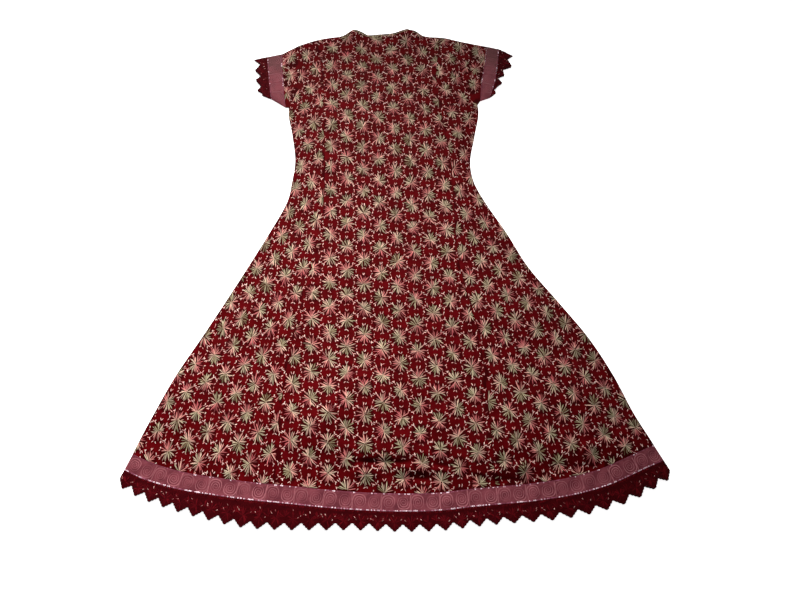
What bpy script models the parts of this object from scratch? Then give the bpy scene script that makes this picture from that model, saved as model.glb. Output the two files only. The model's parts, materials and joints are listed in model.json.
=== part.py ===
"""A child's flared dress with short cap sleeves, laid flat on a surface.

The body is cut in long panels from shoulder to hem: a centre and two sides, front and back.
Each panel is a thin wall of cloth. The back lies on the surface and the front lies on the back.
The sleeves, the ribbons and the laces go right round, so each is a flattened tube.

X runs across the dress, Y runs up from the hem to the neck and Z is up from the surface.
The tables give places across from the middle of the hem and up from its lowest lace point.
Left and right are as seen from above with the hem towards the viewer.
"""
import bisect
import math

import bpy

# Wall thickness of the cloth and of the sewn-on trims, and the gap left at a seam
CLOTH = 0.0012
TRIM = 0.0010
SEAM_GAP = 0.0003

# Height of the underside of the front where it lies lowest on the back
FRONT_BED = CLOTH + SEAM_GAP

# Trims: the ribbon's width, and how deep the lace is cut between two points
RIBBON_WIDTH = 0.025
LACE_CUT = 0.0105

# Columns of cloth across one side panel and the centre panel, a lace point under each
SIDE_COLUMNS = 10
CENTRE_COLUMNS = 14

# Rows of cloth from the shoulder to the underarm, and from there to the ribbon
ARMHOLE_ROWS = 8
SKIRT_ROWS = 20
ARMHOLE_SHARE = 0.185

# Slit at the back of the neck, which lets the head through
SLIT_LENGTH = 0.12
SLIT_WIDTH = 0.0015
SLIT_COLUMN = CENTRE_COLUMNS // 2

# The flare's centre, from which the hem fans out
FLARE_ACROSS = -0.045
FLARE_UP = 0.95

# Fullness of the front between its edges, and how far in it takes to rise
FULLNESS = 0.0028
FULLNESS_RUN = 0.075
EDGE_RUN = 0.030
SLEEVE_FULLNESS = 0.0022

# The two neck points stand up where the shoulder seams meet the neckline
NECK_POINTS = ((-0.083, 0.884), (0.023, 0.887))
NECK_RISE = 0.0065
NECK_SPREAD = 0.021

# Side edges and seams at each height up the dress
OUTLINE_COLUMNS = ("up", "left_edge", "left_seam", "right_seam", "right_edge")
OUTLINE = (
    (0.050, -0.394, -0.172, 0.139, 0.394),
    (0.110, -0.377, -0.171, 0.136, 0.374),
    (0.170, -0.354, -0.169, 0.133, 0.345),
    (0.230, -0.328, -0.165, 0.130, 0.321),
    (0.290, -0.296, -0.156, 0.124, 0.290),
    (0.350, -0.265, -0.146, 0.111, 0.249),
    (0.410, -0.235, -0.136, 0.099, 0.207),
    (0.470, -0.206, -0.124, 0.094, 0.177),
    (0.530, -0.180, -0.120, 0.093, 0.144),
    (0.570, -0.174, -0.120, 0.092, 0.127),
    (0.610, -0.171, -0.121, 0.090, 0.123),
    (0.660, -0.178, -0.124, 0.084, 0.132),
    (0.718, -0.188, -0.127, 0.075, 0.141),
    (0.755, -0.176, -0.128, 0.070, 0.129),
    (0.790, -0.173, -0.132, 0.069, 0.126),
    (0.825, -0.174, -0.137, 0.072, 0.131),
    (0.870, -0.178, -0.144, 0.077, 0.137),
)

# Shoulders and neckline, from the left armhole to the right one
TOP_COLUMNS = ("across", "up")
TOP = (
    (-0.180, 0.858),
    (-0.145, 0.872),
    (-0.120, 0.877),
    (-0.096, 0.879),
    (-0.081, 0.888),
    (-0.066, 0.886),
    (-0.052, 0.880),
    (-0.034, 0.882),
    (-0.008, 0.884),
    (0.008, 0.888),
    (0.023, 0.890),
    (0.034, 0.888),
    (0.048, 0.880),
    (0.084, 0.877),
    (0.110, 0.870),
    (0.140, 0.862),
)

# The ribbon's upper edge along the hem, and how far the lace points reach below the ribbon
HEM_COLUMNS = ("across", "up", "lace_reach")
HEM = (
    (-0.390, 0.117, 0.021),
    (-0.349, 0.098, 0.025),
    (-0.300, 0.084, 0.029),
    (-0.251, 0.076, 0.034),
    (-0.205, 0.070, 0.038),
    (-0.154, 0.065, 0.036),
    (-0.105, 0.060, 0.031),
    (-0.055, 0.056, 0.027),
    (0.000, 0.054, 0.027),
    (0.055, 0.055, 0.027),
    (0.100, 0.060, 0.027),
    (0.145, 0.064, 0.027),
    (0.195, 0.069, 0.029),
    (0.240, 0.076, 0.030),
    (0.285, 0.088, 0.031),
    (0.320, 0.102, 0.031),
    (0.380, 0.129, 0.024),
)

# Sleeves from the shoulder fold down to the underarm: the ribbon's two edges and the lace points
SLEEVE_COLUMNS = ("down", "inner_across", "inner_up", "outer_across", "outer_up",
                  "tip_across", "tip_up")
SLEEVE_LEFT = (
    (0.00, -0.206, 0.840, -0.233, 0.833, -0.256, 0.827),
    (0.25, -0.204, 0.807, -0.229, 0.801, -0.252, 0.802),
    (0.50, -0.200, 0.776, -0.225, 0.772, -0.249, 0.780),
    (0.75, -0.197, 0.746, -0.222, 0.752, -0.245, 0.758),
    (1.00, -0.193, 0.721, -0.219, 0.739, -0.236, 0.747),
)
SLEEVE_RIGHT = (
    (0.00, 0.162, 0.857, 0.184, 0.851, 0.208, 0.836),
    (0.25, 0.157, 0.820, 0.180, 0.820, 0.204, 0.811),
    (0.50, 0.151, 0.789, 0.176, 0.796, 0.190, 0.791),
    (0.75, 0.147, 0.761, 0.172, 0.773, 0.185, 0.774),
    (1.00, 0.145, 0.735, 0.162, 0.742, 0.173, 0.752),
)

# Soft folds of the front: the two ends of each crest, its height and half its width
FOLD_COLUMNS = ("across_a", "up_a", "across_b", "up_b", "height", "width")
FOLDS = (
    (0.092, 0.850, 0.098, 0.715, 0.0040, 0.013),
    (0.122, 0.735, 0.098, 0.590, 0.0034, 0.012),
    (0.050, 0.700, 0.030, 0.560, 0.0020, 0.016),
    (-0.160, 0.770, -0.110, 0.660, 0.0036, 0.014),
    (-0.060, 0.840, -0.075, 0.700, 0.0018, 0.018),
    (-0.155, 0.660, -0.105, 0.580, 0.0024, 0.012),
    (-0.170, 0.470, -0.255, 0.250, 0.0044, 0.017),
    (-0.125, 0.420, -0.215, 0.090, 0.0040, 0.026),
    (-0.060, 0.520, -0.085, 0.120, 0.0026, 0.030),
    (0.010, 0.480, 0.020, 0.090, 0.0022, 0.028),
    (0.060, 0.500, 0.095, 0.080, 0.0034, 0.028),
    (0.115, 0.420, 0.190, 0.070, 0.0056, 0.034),
    (0.175, 0.400, 0.290, 0.110, 0.0060, 0.036),
    (-0.280, 0.260, -0.325, 0.120, 0.0030, 0.018),
    (-0.070, 0.082, -0.015, 0.080, 0.0030, 0.007),
    (0.000, 0.088, 0.090, 0.086, 0.0026, 0.007),
    (0.120, 0.082, 0.215, 0.094, 0.0030, 0.008),
    (0.225, 0.102, 0.310, 0.128, 0.0026, 0.008),
)


def srgb(red, green, blue):
    """Linear colour of an sRGB colour given in 0 to 255."""
    values = []
    for part in (red, green, blue):
        share = part / 255
        linear = share / 12.92 if share <= 0.04045 else ((share + 0.055) / 1.055) ** 2.4
        values.append(linear)
    return (*values, 1.0)


CLOTH_COLOUR = srgb(104, 12, 24)
RIBBON_COLOUR = srgb(150, 78, 88)
LACE_COLOUR = srgb(84, 8, 18)


def ease(share):
    """Smooth step from 0 to 1."""
    share = min(max(share, 0.0), 1.0)
    return share * share * (3 - 2 * share)


def smooth(columns, rows, key, value):
    """One column of a table as a smooth function of another, through every row."""
    keys = [row[columns.index(key)] for row in rows]
    values = [row[columns.index(value)] for row in rows]
    last = len(keys) - 1
    slopes = []
    for index in range(last + 1):
        before = max(index - 1, 0)
        after = min(index + 1, last)
        slopes.append((values[after] - values[before]) / (keys[after] - keys[before]))

    def at(place):
        place = min(max(place, keys[0]), keys[last])
        index = min(bisect.bisect_right(keys, place), last) - 1
        run = keys[index + 1] - keys[index]
        share = (place - keys[index]) / run
        bend_a = share * (1 - share) ** 2 * run * slopes[index]
        bend_b = share ** 2 * (share - 1) * run * slopes[index + 1]
        rise = share * share * (3 - 2 * share)
        return values[index] + (values[index + 1] - values[index]) * rise + bend_a + bend_b

    return at


left_edge = smooth(OUTLINE_COLUMNS, OUTLINE, "up", "left_edge")
left_seam = smooth(OUTLINE_COLUMNS, OUTLINE, "up", "left_seam")
right_seam = smooth(OUTLINE_COLUMNS, OUTLINE, "up", "right_seam")
right_edge = smooth(OUTLINE_COLUMNS, OUTLINE, "up", "right_edge")
top_line = smooth(TOP_COLUMNS, TOP, "across", "up")
hem_line = smooth(HEM_COLUMNS, HEM, "across", "up")
lace_reach = smooth(HEM_COLUMNS, HEM, "across", "lace_reach")


def neck_rise(across, up):
    """How far both layers of cloth stand up round the two neck points."""
    rise = 0.0
    for point_across, point_up in NECK_POINTS:
        away = math.hypot(across - point_across, up - point_up)
        rise += NECK_RISE * math.exp(-((away / NECK_SPREAD) ** 2))
    return rise


def fold_rise(across, up):
    """Height of the soft folds: a rounded crest along each row's line, fading at its ends."""
    rise = 0.0
    for across_a, up_a, across_b, up_b, height, width in FOLDS:
        run = (across_b - across_a, up_b - up_a)
        length = math.hypot(*run)
        along = ((across - across_a) * run[0] + (up - up_a) * run[1]) / length
        aside = abs((across - across_a) * run[1] - (up - up_a) * run[0]) / length
        fade = ease(along / (0.3 * length)) * ease((length - along) / (0.3 * length))
        rise += height * fade * math.exp(-((aside / width) ** 2))
    return rise


def front_lift(across, up):
    """Height of the front's underside above its bed: fullness and folds, down at the edges."""
    inside = min(across - left_edge(up), right_edge(up) - across)
    fullness = FULLNESS * ease(inside / FULLNESS_RUN) * (0.35 + 0.65 * ease((up - 0.05) / 0.12))
    return fullness + fold_rise(across, up) * ease(inside / EDGE_RUN)


def boundary(line, edge_a, edge_b, share, start_up):
    """Point where a panel's column, at a share of its width, meets a line across the dress."""
    up = start_up
    for _ in range(6):
        across = edge_a(up) + (edge_b(up) - edge_a(up)) * share
        up = line(across)
    return up


def row_shares():
    """Share of the way from the shoulder to the ribbon at each row of cloth."""
    shares = [ARMHOLE_SHARE * row / ARMHOLE_ROWS for row in range(ARMHOLE_ROWS + 1)]
    for row in range(1, SKIRT_ROWS + 1):
        shares.append(ARMHOLE_SHARE + (1 - ARMHOLE_SHARE) * row / SKIRT_ROWS)
    return shares


def panel_plan(edge_a, edge_b, columns):
    """Places of one panel's points in plan: a list of rows from the shoulder to the ribbon."""
    plan = []
    tops = []
    hems = []
    for column in range(columns + 1):
        share = column / columns
        tops.append(boundary(top_line, edge_a, edge_b, share, 0.87))
        hems.append(boundary(hem_line, edge_a, edge_b, share, 0.08))
    for share_down in row_shares():
        row = []
        for column in range(columns + 1):
            up = tops[column] + (hems[column] - tops[column]) * share_down
            across = edge_a(up) + (edge_b(up) - edge_a(up)) * column / columns
            row.append((across, up))
        plan.append(row)
    return plan


def trimmed(plan, at_start, at_end):
    """The plan with half a seam gap taken off the sides that are sewn to another panel."""
    result = []
    for row in plan:
        row = list(row)
        if at_start:
            row[0] = (row[0][0] + SEAM_GAP / 2, row[0][1])
        if at_end:
            row[-1] = (row[-1][0] - SEAM_GAP / 2, row[-1][1])
        result.append(row)
    return result


def slit_plan(plan):
    """The plan with the column line at the slit doubled, a slit's width apart."""
    result = []
    for row in plan:
        across, up = row[SLIT_COLUMN]
        sides = [(across - SLIT_WIDTH / 2, up), (across + SLIT_WIDTH / 2, up)]
        result.append(row[:SLIT_COLUMN] + sides + row[SLIT_COLUMN + 1:])
    return result


def in_slit(plan, row, column):
    """Whether a cell of the plan lies in the open slit."""
    middle = (plan[row][column][1] + plan[row + 1][column][1]) / 2
    return column == SLIT_COLUMN and plan[0][column][1] - middle < SLIT_LENGTH


def finish(name, points, faces, colour, roughness):
    """Make the named object from its points and faces, with a material of its own."""
    mesh = bpy.data.meshes.new(name)
    mesh.from_pydata(points, [], faces)
    mesh.shade_smooth()
    mesh.set_sharp_from_angle(angle=math.radians(40))
    material = bpy.data.materials.new(name)
    material.use_nodes = True
    shader = material.node_tree.nodes["Principled BSDF"]
    shader.inputs["Base Color"].default_value = colour
    shader.inputs["Roughness"].default_value = roughness
    shader.inputs["Metallic"].default_value = 0.0
    mesh.materials.append(material)
    thing = bpy.data.objects.new(name, mesh)
    bpy.context.collection.objects.link(thing)
    return thing


def wall(name, plan, underside, thickness, colour, left_out=None):
    """A panel: a wall of cloth over the plan, as high as the underside function says."""
    rows = len(plan)
    columns = len(plan[0])
    points = []
    for raise_by in (thickness, 0.0):
        for row in plan:
            for across, up in row:
                points.append((across, up, underside(across, up) + raise_by))
    below = rows * columns
    cells = []
    for row in range(rows - 1):
        for column in range(columns - 1):
            if left_out and left_out(plan, row, column):
                continue
            corner = row * columns + column
            cells.append((corner, corner + columns, corner + columns + 1, corner + 1))
    edges = set()
    for cell in cells:
        for start, end in zip(cell, cell[1:] + cell[:1]):
            edges.add((start, end))
    faces = list(cells)
    faces += [tuple(corner + below for corner in reversed(cell)) for cell in cells]
    for start, end in sorted(edges):
        if (end, start) not in edges:
            faces.append((end, start, start + below, end + below))
    used = sorted({corner for face in faces for corner in face})
    order = {corner: index for index, corner in enumerate(used)}
    faces = [tuple(order[corner] for corner in face) for face in faces]
    return finish(name, [points[corner] for corner in used], faces, colour, 0.75)


def inset(place, neighbour, distance):
    """A fold's place moved in along its ring, to the inside of the wall."""
    length = math.hypot(neighbour[0] - place[0], neighbour[1] - place[1])
    share = distance / length
    across = place[0] + (neighbour[0] - place[0]) * share
    up = place[1] + (neighbour[1] - place[1]) * share
    return across, up, place[2]


def flat_tube(name, rings, thickness, colour, turned=False):
    """A flattened tube: a front layer over a back layer, joined at both folds, open at its ends.

    Each ring is a list of (across, up, front) from one fold to the other, where front is the
    height of the front layer's underside.
    """
    count = len(rings[0])
    points = []
    for ring in rings:
        inner = list(ring)
        inner[0] = inset(ring[0], ring[1], thickness)
        inner[-1] = inset(ring[-1], ring[-2], thickness)
        points += [(across, up, front + thickness) for across, up, front in ring]
        points += [(across, up, 0.0) for across, up, front in reversed(ring)]
        points += inner
        points += [(across, up, thickness) for across, up, front in reversed(inner)]
    loop = 2 * count
    faces = []
    for index in range(len(rings) - 1):
        here = index * 2 * loop
        there = here + 2 * loop
        for step in range(loop):
            after = (step + 1) % loop
            faces.append((here + step, here + after, there + after, there + step))
            faces.append((here + loop + after, here + loop + step,
                          there + loop + step, there + loop + after))
    end = (len(rings) - 1) * 2 * loop
    for step in range(loop):
        after = (step + 1) % loop
        faces.append((step, step + loop, after + loop, after))
        faces.append((end + after, end + after + loop, end + step + loop, end + step))
    if turned:
        faces = [tuple(reversed(face)) for face in faces]
    return finish(name, points, faces, colour, 0.6)


def moved(ring, other, distance):
    """A ring moved a little way towards another, to leave the gap of a seam."""
    result = []
    for (across, up, front), (other_across, other_up, _) in zip(ring, other):
        length = math.hypot(other_across - across, other_up - up)
        share = distance / length
        result.append((across + (other_across - across) * share,
                       up + (other_up - up) * share, front))
    return result


def between(ring, other, share):
    """A ring part of the way from one ring to another."""
    result = []
    for (across, up, front), (other_across, other_up, _) in zip(ring, other):
        result.append((across + (other_across - across) * share,
                       up + (other_up - up) * share, front))
    return result


def build_body():
    """The six panels. Returns the front's plans, whose edges the other pieces follow."""
    plans = {
        "left": panel_plan(left_edge, left_seam, SIDE_COLUMNS),
        "centre": panel_plan(left_seam, right_seam, CENTRE_COLUMNS),
        "right": panel_plan(right_seam, right_edge, SIDE_COLUMNS),
    }
    seams = {"left": (False, True), "centre": (True, True), "right": (True, False)}

    def front(across, up):
        return FRONT_BED + neck_rise(across, up) + front_lift(across, up)

    for side, plan in plans.items():
        cut = trimmed(plan, *seams[side])
        wall("front_" + side, cut, front, CLOTH, CLOTH_COLOUR)
        if side == "centre":
            wall("back_" + side, slit_plan(cut), neck_rise, CLOTH, CLOTH_COLOUR, in_slit)
        else:
            wall("back_" + side, cut, neck_rise, CLOTH, CLOTH_COLOUR)
    return plans


def build_sleeve(side, table, armhole):
    """A cap sleeve with its ribbon and its lace, from the armhole points outwards."""
    turned = side == "left"
    names = ("inner", "outer", "tip")
    lines = {}
    for name in names:
        across = smooth(SLEEVE_COLUMNS, table, "down", name + "_across")
        up = smooth(SLEEVE_COLUMNS, table, "down", name + "_up")
        ring = []
        for row in range(ARMHOLE_ROWS + 1):
            down = row / ARMHOLE_ROWS
            front = FRONT_BED + SLEEVE_FULLNESS * math.sin(math.pi * down)
            ring.append((across(down), up(down), front))
        lines[name] = ring
    seam = [(across, up, FRONT_BED) for across, up in armhole]
    start = moved(seam, lines["inner"], SEAM_GAP)
    end = moved(lines["inner"], seam, SEAM_GAP)
    middle = between(end, start, 0.5)
    flat_tube("sleeve_" + side, [start, middle, end], CLOTH, CLOTH_COLOUR, turned)
    ribbon_end = moved(lines["outer"], lines["inner"], SEAM_GAP)
    flat_tube("sleeve_ribbon_" + side, [lines["inner"], ribbon_end], TRIM, RIBBON_COLOUR, turned)
    points = []
    for row, place in enumerate(lines["tip"]):
        if row % 2:
            place = moved([place], [lines["outer"][row]], LACE_CUT)[0]
        points.append(place)
    flat_tube("sleeve_lace_" + side, [lines["outer"], points], TRIM, LACE_COLOUR, turned)


def fanned(place, distance):
    """A place on the hem moved outwards from the flare's centre, with the front's height there."""
    across, up = place
    length = math.hypot(across - FLARE_ACROSS, up - FLARE_UP)
    share = distance / length
    across += (across - FLARE_ACROSS) * share
    up += (up - FLARE_UP) * share
    return across, up


def build_hem(plans):
    """The ribbon and the pointed lace round the hem, from the panels' lower edge outwards."""
    edge = plans["left"][-1] + plans["centre"][-1][1:] + plans["right"][-1][1:]
    lifts = [FRONT_BED + front_lift(*place) for place in edge]

    def ring(distances):
        return [(*fanned(place, distance), lift)
                for place, distance, lift in zip(edge, distances, lifts)]

    top = ring([SEAM_GAP] * len(edge))
    bottom = ring([RIBBON_WIDTH] * len(edge))
    flat_tube("hem_ribbon", [top, bottom], TRIM, RIBBON_COLOUR, True)

    lace_top = []
    lace_end = []
    start = ring([RIBBON_WIDTH + SEAM_GAP] * len(edge))
    for index, place in enumerate(start):
        reach = lace_reach(edge[index][0])
        lace_top.append(place)
        lace_end.append((*fanned(place[:2], reach - LACE_CUT), place[2]))
        if index + 1 < len(start):
            after = start[index + 1]
            halfway = tuple((a + b) / 2 for a, b in zip(place, after))
            reach = (reach + lace_reach(edge[index + 1][0])) / 2
            lace_top.append(halfway)
            lace_end.append((*fanned(halfway[:2], reach), halfway[2]))
    flat_tube("hem_lace", [lace_top, lace_end], TRIM, LACE_COLOUR, True)


def centre_on_origin(things):
    """Move every mesh so that the origin is at the middle of the dress, on the surface."""
    middle = []
    for axis in (0, 1):
        places = [vertex.co[axis] for thing in things for vertex in thing.data.vertices]
        middle.append((min(places) + max(places)) / 2)
    for thing in things:
        for vertex in thing.data.vertices:
            vertex.co.x -= middle[0]
            vertex.co.y -= middle[1]
    return middle


def main():
    for thing in list(bpy.data.objects):
        bpy.data.objects.remove(thing, do_unlink=True)
    plans = build_body()
    left_armhole = [row[0] for row in plans["left"][:ARMHOLE_ROWS + 1]]
    right_armhole = [row[-1] for row in plans["right"][:ARMHOLE_ROWS + 1]]
    build_sleeve("left", SLEEVE_LEFT, left_armhole)
    build_sleeve("right", SLEEVE_RIGHT, right_armhole)
    build_hem(plans)
    middle = centre_on_origin(list(bpy.context.collection.objects))
    print("origin at", [round(value, 5) for value in middle])


main()
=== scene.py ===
# %% [markdown]
# A child's flared dress, laid flat.
#
# The dress lies on a pale table with its hem towards us. Crimson cotton is covered with machine
# embroidered stars in a thread whose colour changes as it runs, and a woven rose ribbon and a
# pointed lace finish the hem and both sleeves. We load the solid pattern pieces first: they say
# how large the dress is and where each piece lies, and everything below is fitted to them.

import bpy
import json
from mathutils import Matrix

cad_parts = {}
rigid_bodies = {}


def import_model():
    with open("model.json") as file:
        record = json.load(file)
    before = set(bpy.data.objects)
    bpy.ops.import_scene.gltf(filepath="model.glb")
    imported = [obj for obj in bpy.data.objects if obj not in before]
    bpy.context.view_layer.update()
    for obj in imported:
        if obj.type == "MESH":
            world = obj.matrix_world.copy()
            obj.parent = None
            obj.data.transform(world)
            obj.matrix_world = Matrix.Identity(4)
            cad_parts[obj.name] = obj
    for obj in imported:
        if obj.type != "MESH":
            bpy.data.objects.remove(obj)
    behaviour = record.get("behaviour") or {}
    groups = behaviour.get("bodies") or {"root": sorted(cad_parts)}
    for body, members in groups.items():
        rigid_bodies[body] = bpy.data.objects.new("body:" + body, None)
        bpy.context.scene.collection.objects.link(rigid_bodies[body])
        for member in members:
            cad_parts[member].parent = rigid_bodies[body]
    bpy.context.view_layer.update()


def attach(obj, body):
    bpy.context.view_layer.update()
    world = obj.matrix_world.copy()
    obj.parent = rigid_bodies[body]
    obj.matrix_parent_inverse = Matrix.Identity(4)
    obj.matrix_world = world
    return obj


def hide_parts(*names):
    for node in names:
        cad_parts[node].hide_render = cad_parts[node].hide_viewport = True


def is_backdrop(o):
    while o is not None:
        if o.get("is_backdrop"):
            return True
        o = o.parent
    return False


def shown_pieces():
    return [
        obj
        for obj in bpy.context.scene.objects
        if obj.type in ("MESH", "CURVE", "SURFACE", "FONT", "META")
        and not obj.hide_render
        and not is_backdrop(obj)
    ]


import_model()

# %% Tools from the standard library and Blender
import json
import math

import bpy
import numpy as np
from mathutils import Vector

MM = 0.001

# %% [markdown]
# Sizes of the cloth.
#
# A pattern maker notes every place on a garment by two numbers: how far across from the middle
# of the hem, and how far up from the lowest lace point. The tables below use the same two
# numbers, in metres, and the solid pieces were cut from the same tables.

# %% Where the pattern's zero lies, and how thick the cloth is
ORIGIN_ACROSS = -0.00224
ORIGIN_UP = 0.44557
CLOTH = 0.0008
TRIM = 0.0008
BACK_BED = 0.0005
FRONT_BED = 0.0015
SEAM_GAP = 0.0001
RIBBON_WIDTH = 0.025
LACE_CUT = 0.0105
SIDE_COLUMNS = 10
CENTRE_COLUMNS = 14
HEM_COLUMNS_IN_ALL = 2 * SIDE_COLUMNS + CENTRE_COLUMNS
ARMHOLE_ROWS = 8
ARMHOLE_SHARE = 0.185
SLIT_LENGTH = 0.12
SLIT_WIDTH = 0.0015
FLARE_ACROSS = -0.045
FLARE_UP = 0.95
FULLNESS = 0.0028
FULLNESS_RUN = 0.075
EDGE_RUN = 0.030
SLEEVE_FULLNESS = 0.0022
NECK_POINTS = ((-0.083, 0.884), (0.023, 0.887))
NECK_RISE = 0.0065
NECK_SPREAD = 0.021

# %% Side edges and seams at each height
OUTLINE_COLUMNS = ("up", "left_edge", "left_seam", "right_seam", "right_edge")
OUTLINE = (
    (0.050, -0.394, -0.172, 0.139, 0.394),
    (0.110, -0.377, -0.171, 0.136, 0.374),
    (0.170, -0.354, -0.169, 0.133, 0.345),
    (0.230, -0.328, -0.165, 0.130, 0.321),
    (0.290, -0.296, -0.156, 0.124, 0.290),
    (0.350, -0.265, -0.146, 0.111, 0.249),
    (0.410, -0.235, -0.136, 0.099, 0.207),
    (0.470, -0.206, -0.124, 0.094, 0.177),
    (0.530, -0.180, -0.120, 0.093, 0.144),
    (0.570, -0.174, -0.120, 0.092, 0.127),
    (0.610, -0.171, -0.121, 0.090, 0.123),
    (0.660, -0.178, -0.124, 0.084, 0.132),
    (0.718, -0.188, -0.127, 0.075, 0.141),
    (0.755, -0.176, -0.128, 0.070, 0.129),
    (0.790, -0.173, -0.132, 0.069, 0.126),
    (0.825, -0.174, -0.137, 0.072, 0.131),
    (0.870, -0.178, -0.144, 0.077, 0.137),
)

# %% Shoulders and neckline, then the ribbon's upper edge and the reach of the lace
TOP_COLUMNS = ("across", "up")
TOP = (
    (-0.180, 0.858),
    (-0.145, 0.872),
    (-0.120, 0.877),
    (-0.096, 0.879),
    (-0.081, 0.888),
    (-0.066, 0.886),
    (-0.052, 0.880),
    (-0.034, 0.882),
    (-0.008, 0.884),
    (0.008, 0.888),
    (0.023, 0.890),
    (0.034, 0.888),
    (0.048, 0.880),
    (0.084, 0.877),
    (0.110, 0.870),
    (0.140, 0.862),
)
HEM_COLUMNS = ("across", "up", "lace_reach")
HEM = (
    (-0.390, 0.117, 0.021),
    (-0.349, 0.098, 0.025),
    (-0.300, 0.084, 0.029),
    (-0.251, 0.076, 0.034),
    (-0.205, 0.070, 0.038),
    (-0.154, 0.065, 0.036),
    (-0.105, 0.060, 0.031),
    (-0.055, 0.056, 0.027),
    (0.000, 0.054, 0.027),
    (0.055, 0.055, 0.027),
    (0.100, 0.060, 0.027),
    (0.145, 0.064, 0.027),
    (0.195, 0.069, 0.029),
    (0.240, 0.076, 0.030),
    (0.285, 0.088, 0.031),
    (0.320, 0.102, 0.031),
    (0.380, 0.129, 0.024),
)

# %% Sleeves, from the shoulder fold down to the underarm
SLEEVE_COLUMNS = ("down", "inner_across", "inner_up", "outer_across", "outer_up",
                  "tip_across", "tip_up")
SLEEVES = {
    "left": (
        (0.00, -0.206, 0.840, -0.233, 0.833, -0.256, 0.827),
        (0.25, -0.204, 0.807, -0.229, 0.801, -0.252, 0.802),
        (0.50, -0.200, 0.776, -0.225, 0.772, -0.249, 0.780),
        (0.75, -0.197, 0.746, -0.222, 0.752, -0.245, 0.758),
        (1.00, -0.193, 0.721, -0.219, 0.739, -0.236, 0.747),
    ),
    "right": (
        (0.00, 0.162, 0.857, 0.184, 0.851, 0.208, 0.836),
        (0.25, 0.157, 0.820, 0.180, 0.820, 0.204, 0.811),
        (0.50, 0.151, 0.789, 0.176, 0.796, 0.190, 0.791),
        (0.75, 0.147, 0.761, 0.172, 0.773, 0.185, 0.774),
        (1.00, 0.145, 0.735, 0.162, 0.742, 0.173, 0.752),
    ),
}

# %% Soft folds, which the solid pieces have too: two ends, height and half width of each crest
FOLDS = (
    (0.092, 0.850, 0.098, 0.715, 0.0040, 0.013),
    (0.122, 0.735, 0.098, 0.590, 0.0034, 0.012),
    (0.050, 0.700, 0.030, 0.560, 0.0020, 0.016),
    (-0.160, 0.770, -0.110, 0.660, 0.0036, 0.014),
    (-0.060, 0.840, -0.075, 0.700, 0.0018, 0.018),
    (-0.155, 0.660, -0.105, 0.580, 0.0024, 0.012),
    (-0.170, 0.470, -0.255, 0.250, 0.0044, 0.017),
    (-0.125, 0.420, -0.215, 0.090, 0.0040, 0.026),
    (-0.060, 0.520, -0.085, 0.120, 0.0026, 0.030),
    (0.010, 0.480, 0.020, 0.090, 0.0022, 0.028),
    (0.060, 0.500, 0.095, 0.080, 0.0034, 0.028),
    (0.115, 0.420, 0.190, 0.070, 0.0056, 0.034),
    (0.175, 0.400, 0.290, 0.110, 0.0060, 0.036),
    (-0.280, 0.260, -0.325, 0.120, 0.0030, 0.018),
    (-0.070, 0.082, -0.015, 0.080, 0.0030, 0.007),
    (0.000, 0.088, 0.090, 0.086, 0.0026, 0.007),
    (0.120, 0.082, 0.215, 0.094, 0.0030, 0.008),
    (0.225, 0.102, 0.310, 0.128, 0.0026, 0.008),
)

# %% [markdown]
# Creases.
#
# A folded dress keeps creases when it is shaken out. They are shallow and no two are alike, so
# each has its own row: where it starts and ends, how high it stands (or how deep it sinks, where
# the number is negative) and how wide it is. In a few places the cloth lies full and then drops
# at once. Such a slump has two widths: a narrow one on the right of its way, where it drops, and
# a wide one on the left. A cloth simulation could make creases too, but not where this dress has
# them.

# %% Slumps: two ends, height, narrow width on the right and wide width on the left
SLUMPS = (
    (-0.004, 0.259, -0.167, 0.113, 0.0094, 0.024, 0.060),
    (-0.110, 0.116, 0.105, 0.112, 0.0076, 0.034, 0.060),
    (0.080, 0.116, 0.235, 0.118, 0.0072, 0.032, 0.060),
    (0.190, 0.127, 0.400, 0.112, 0.0046, 0.020, 0.050),
    (0.170, 0.204, 0.325, 0.176, 0.0036, 0.018, 0.045),
)

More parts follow.
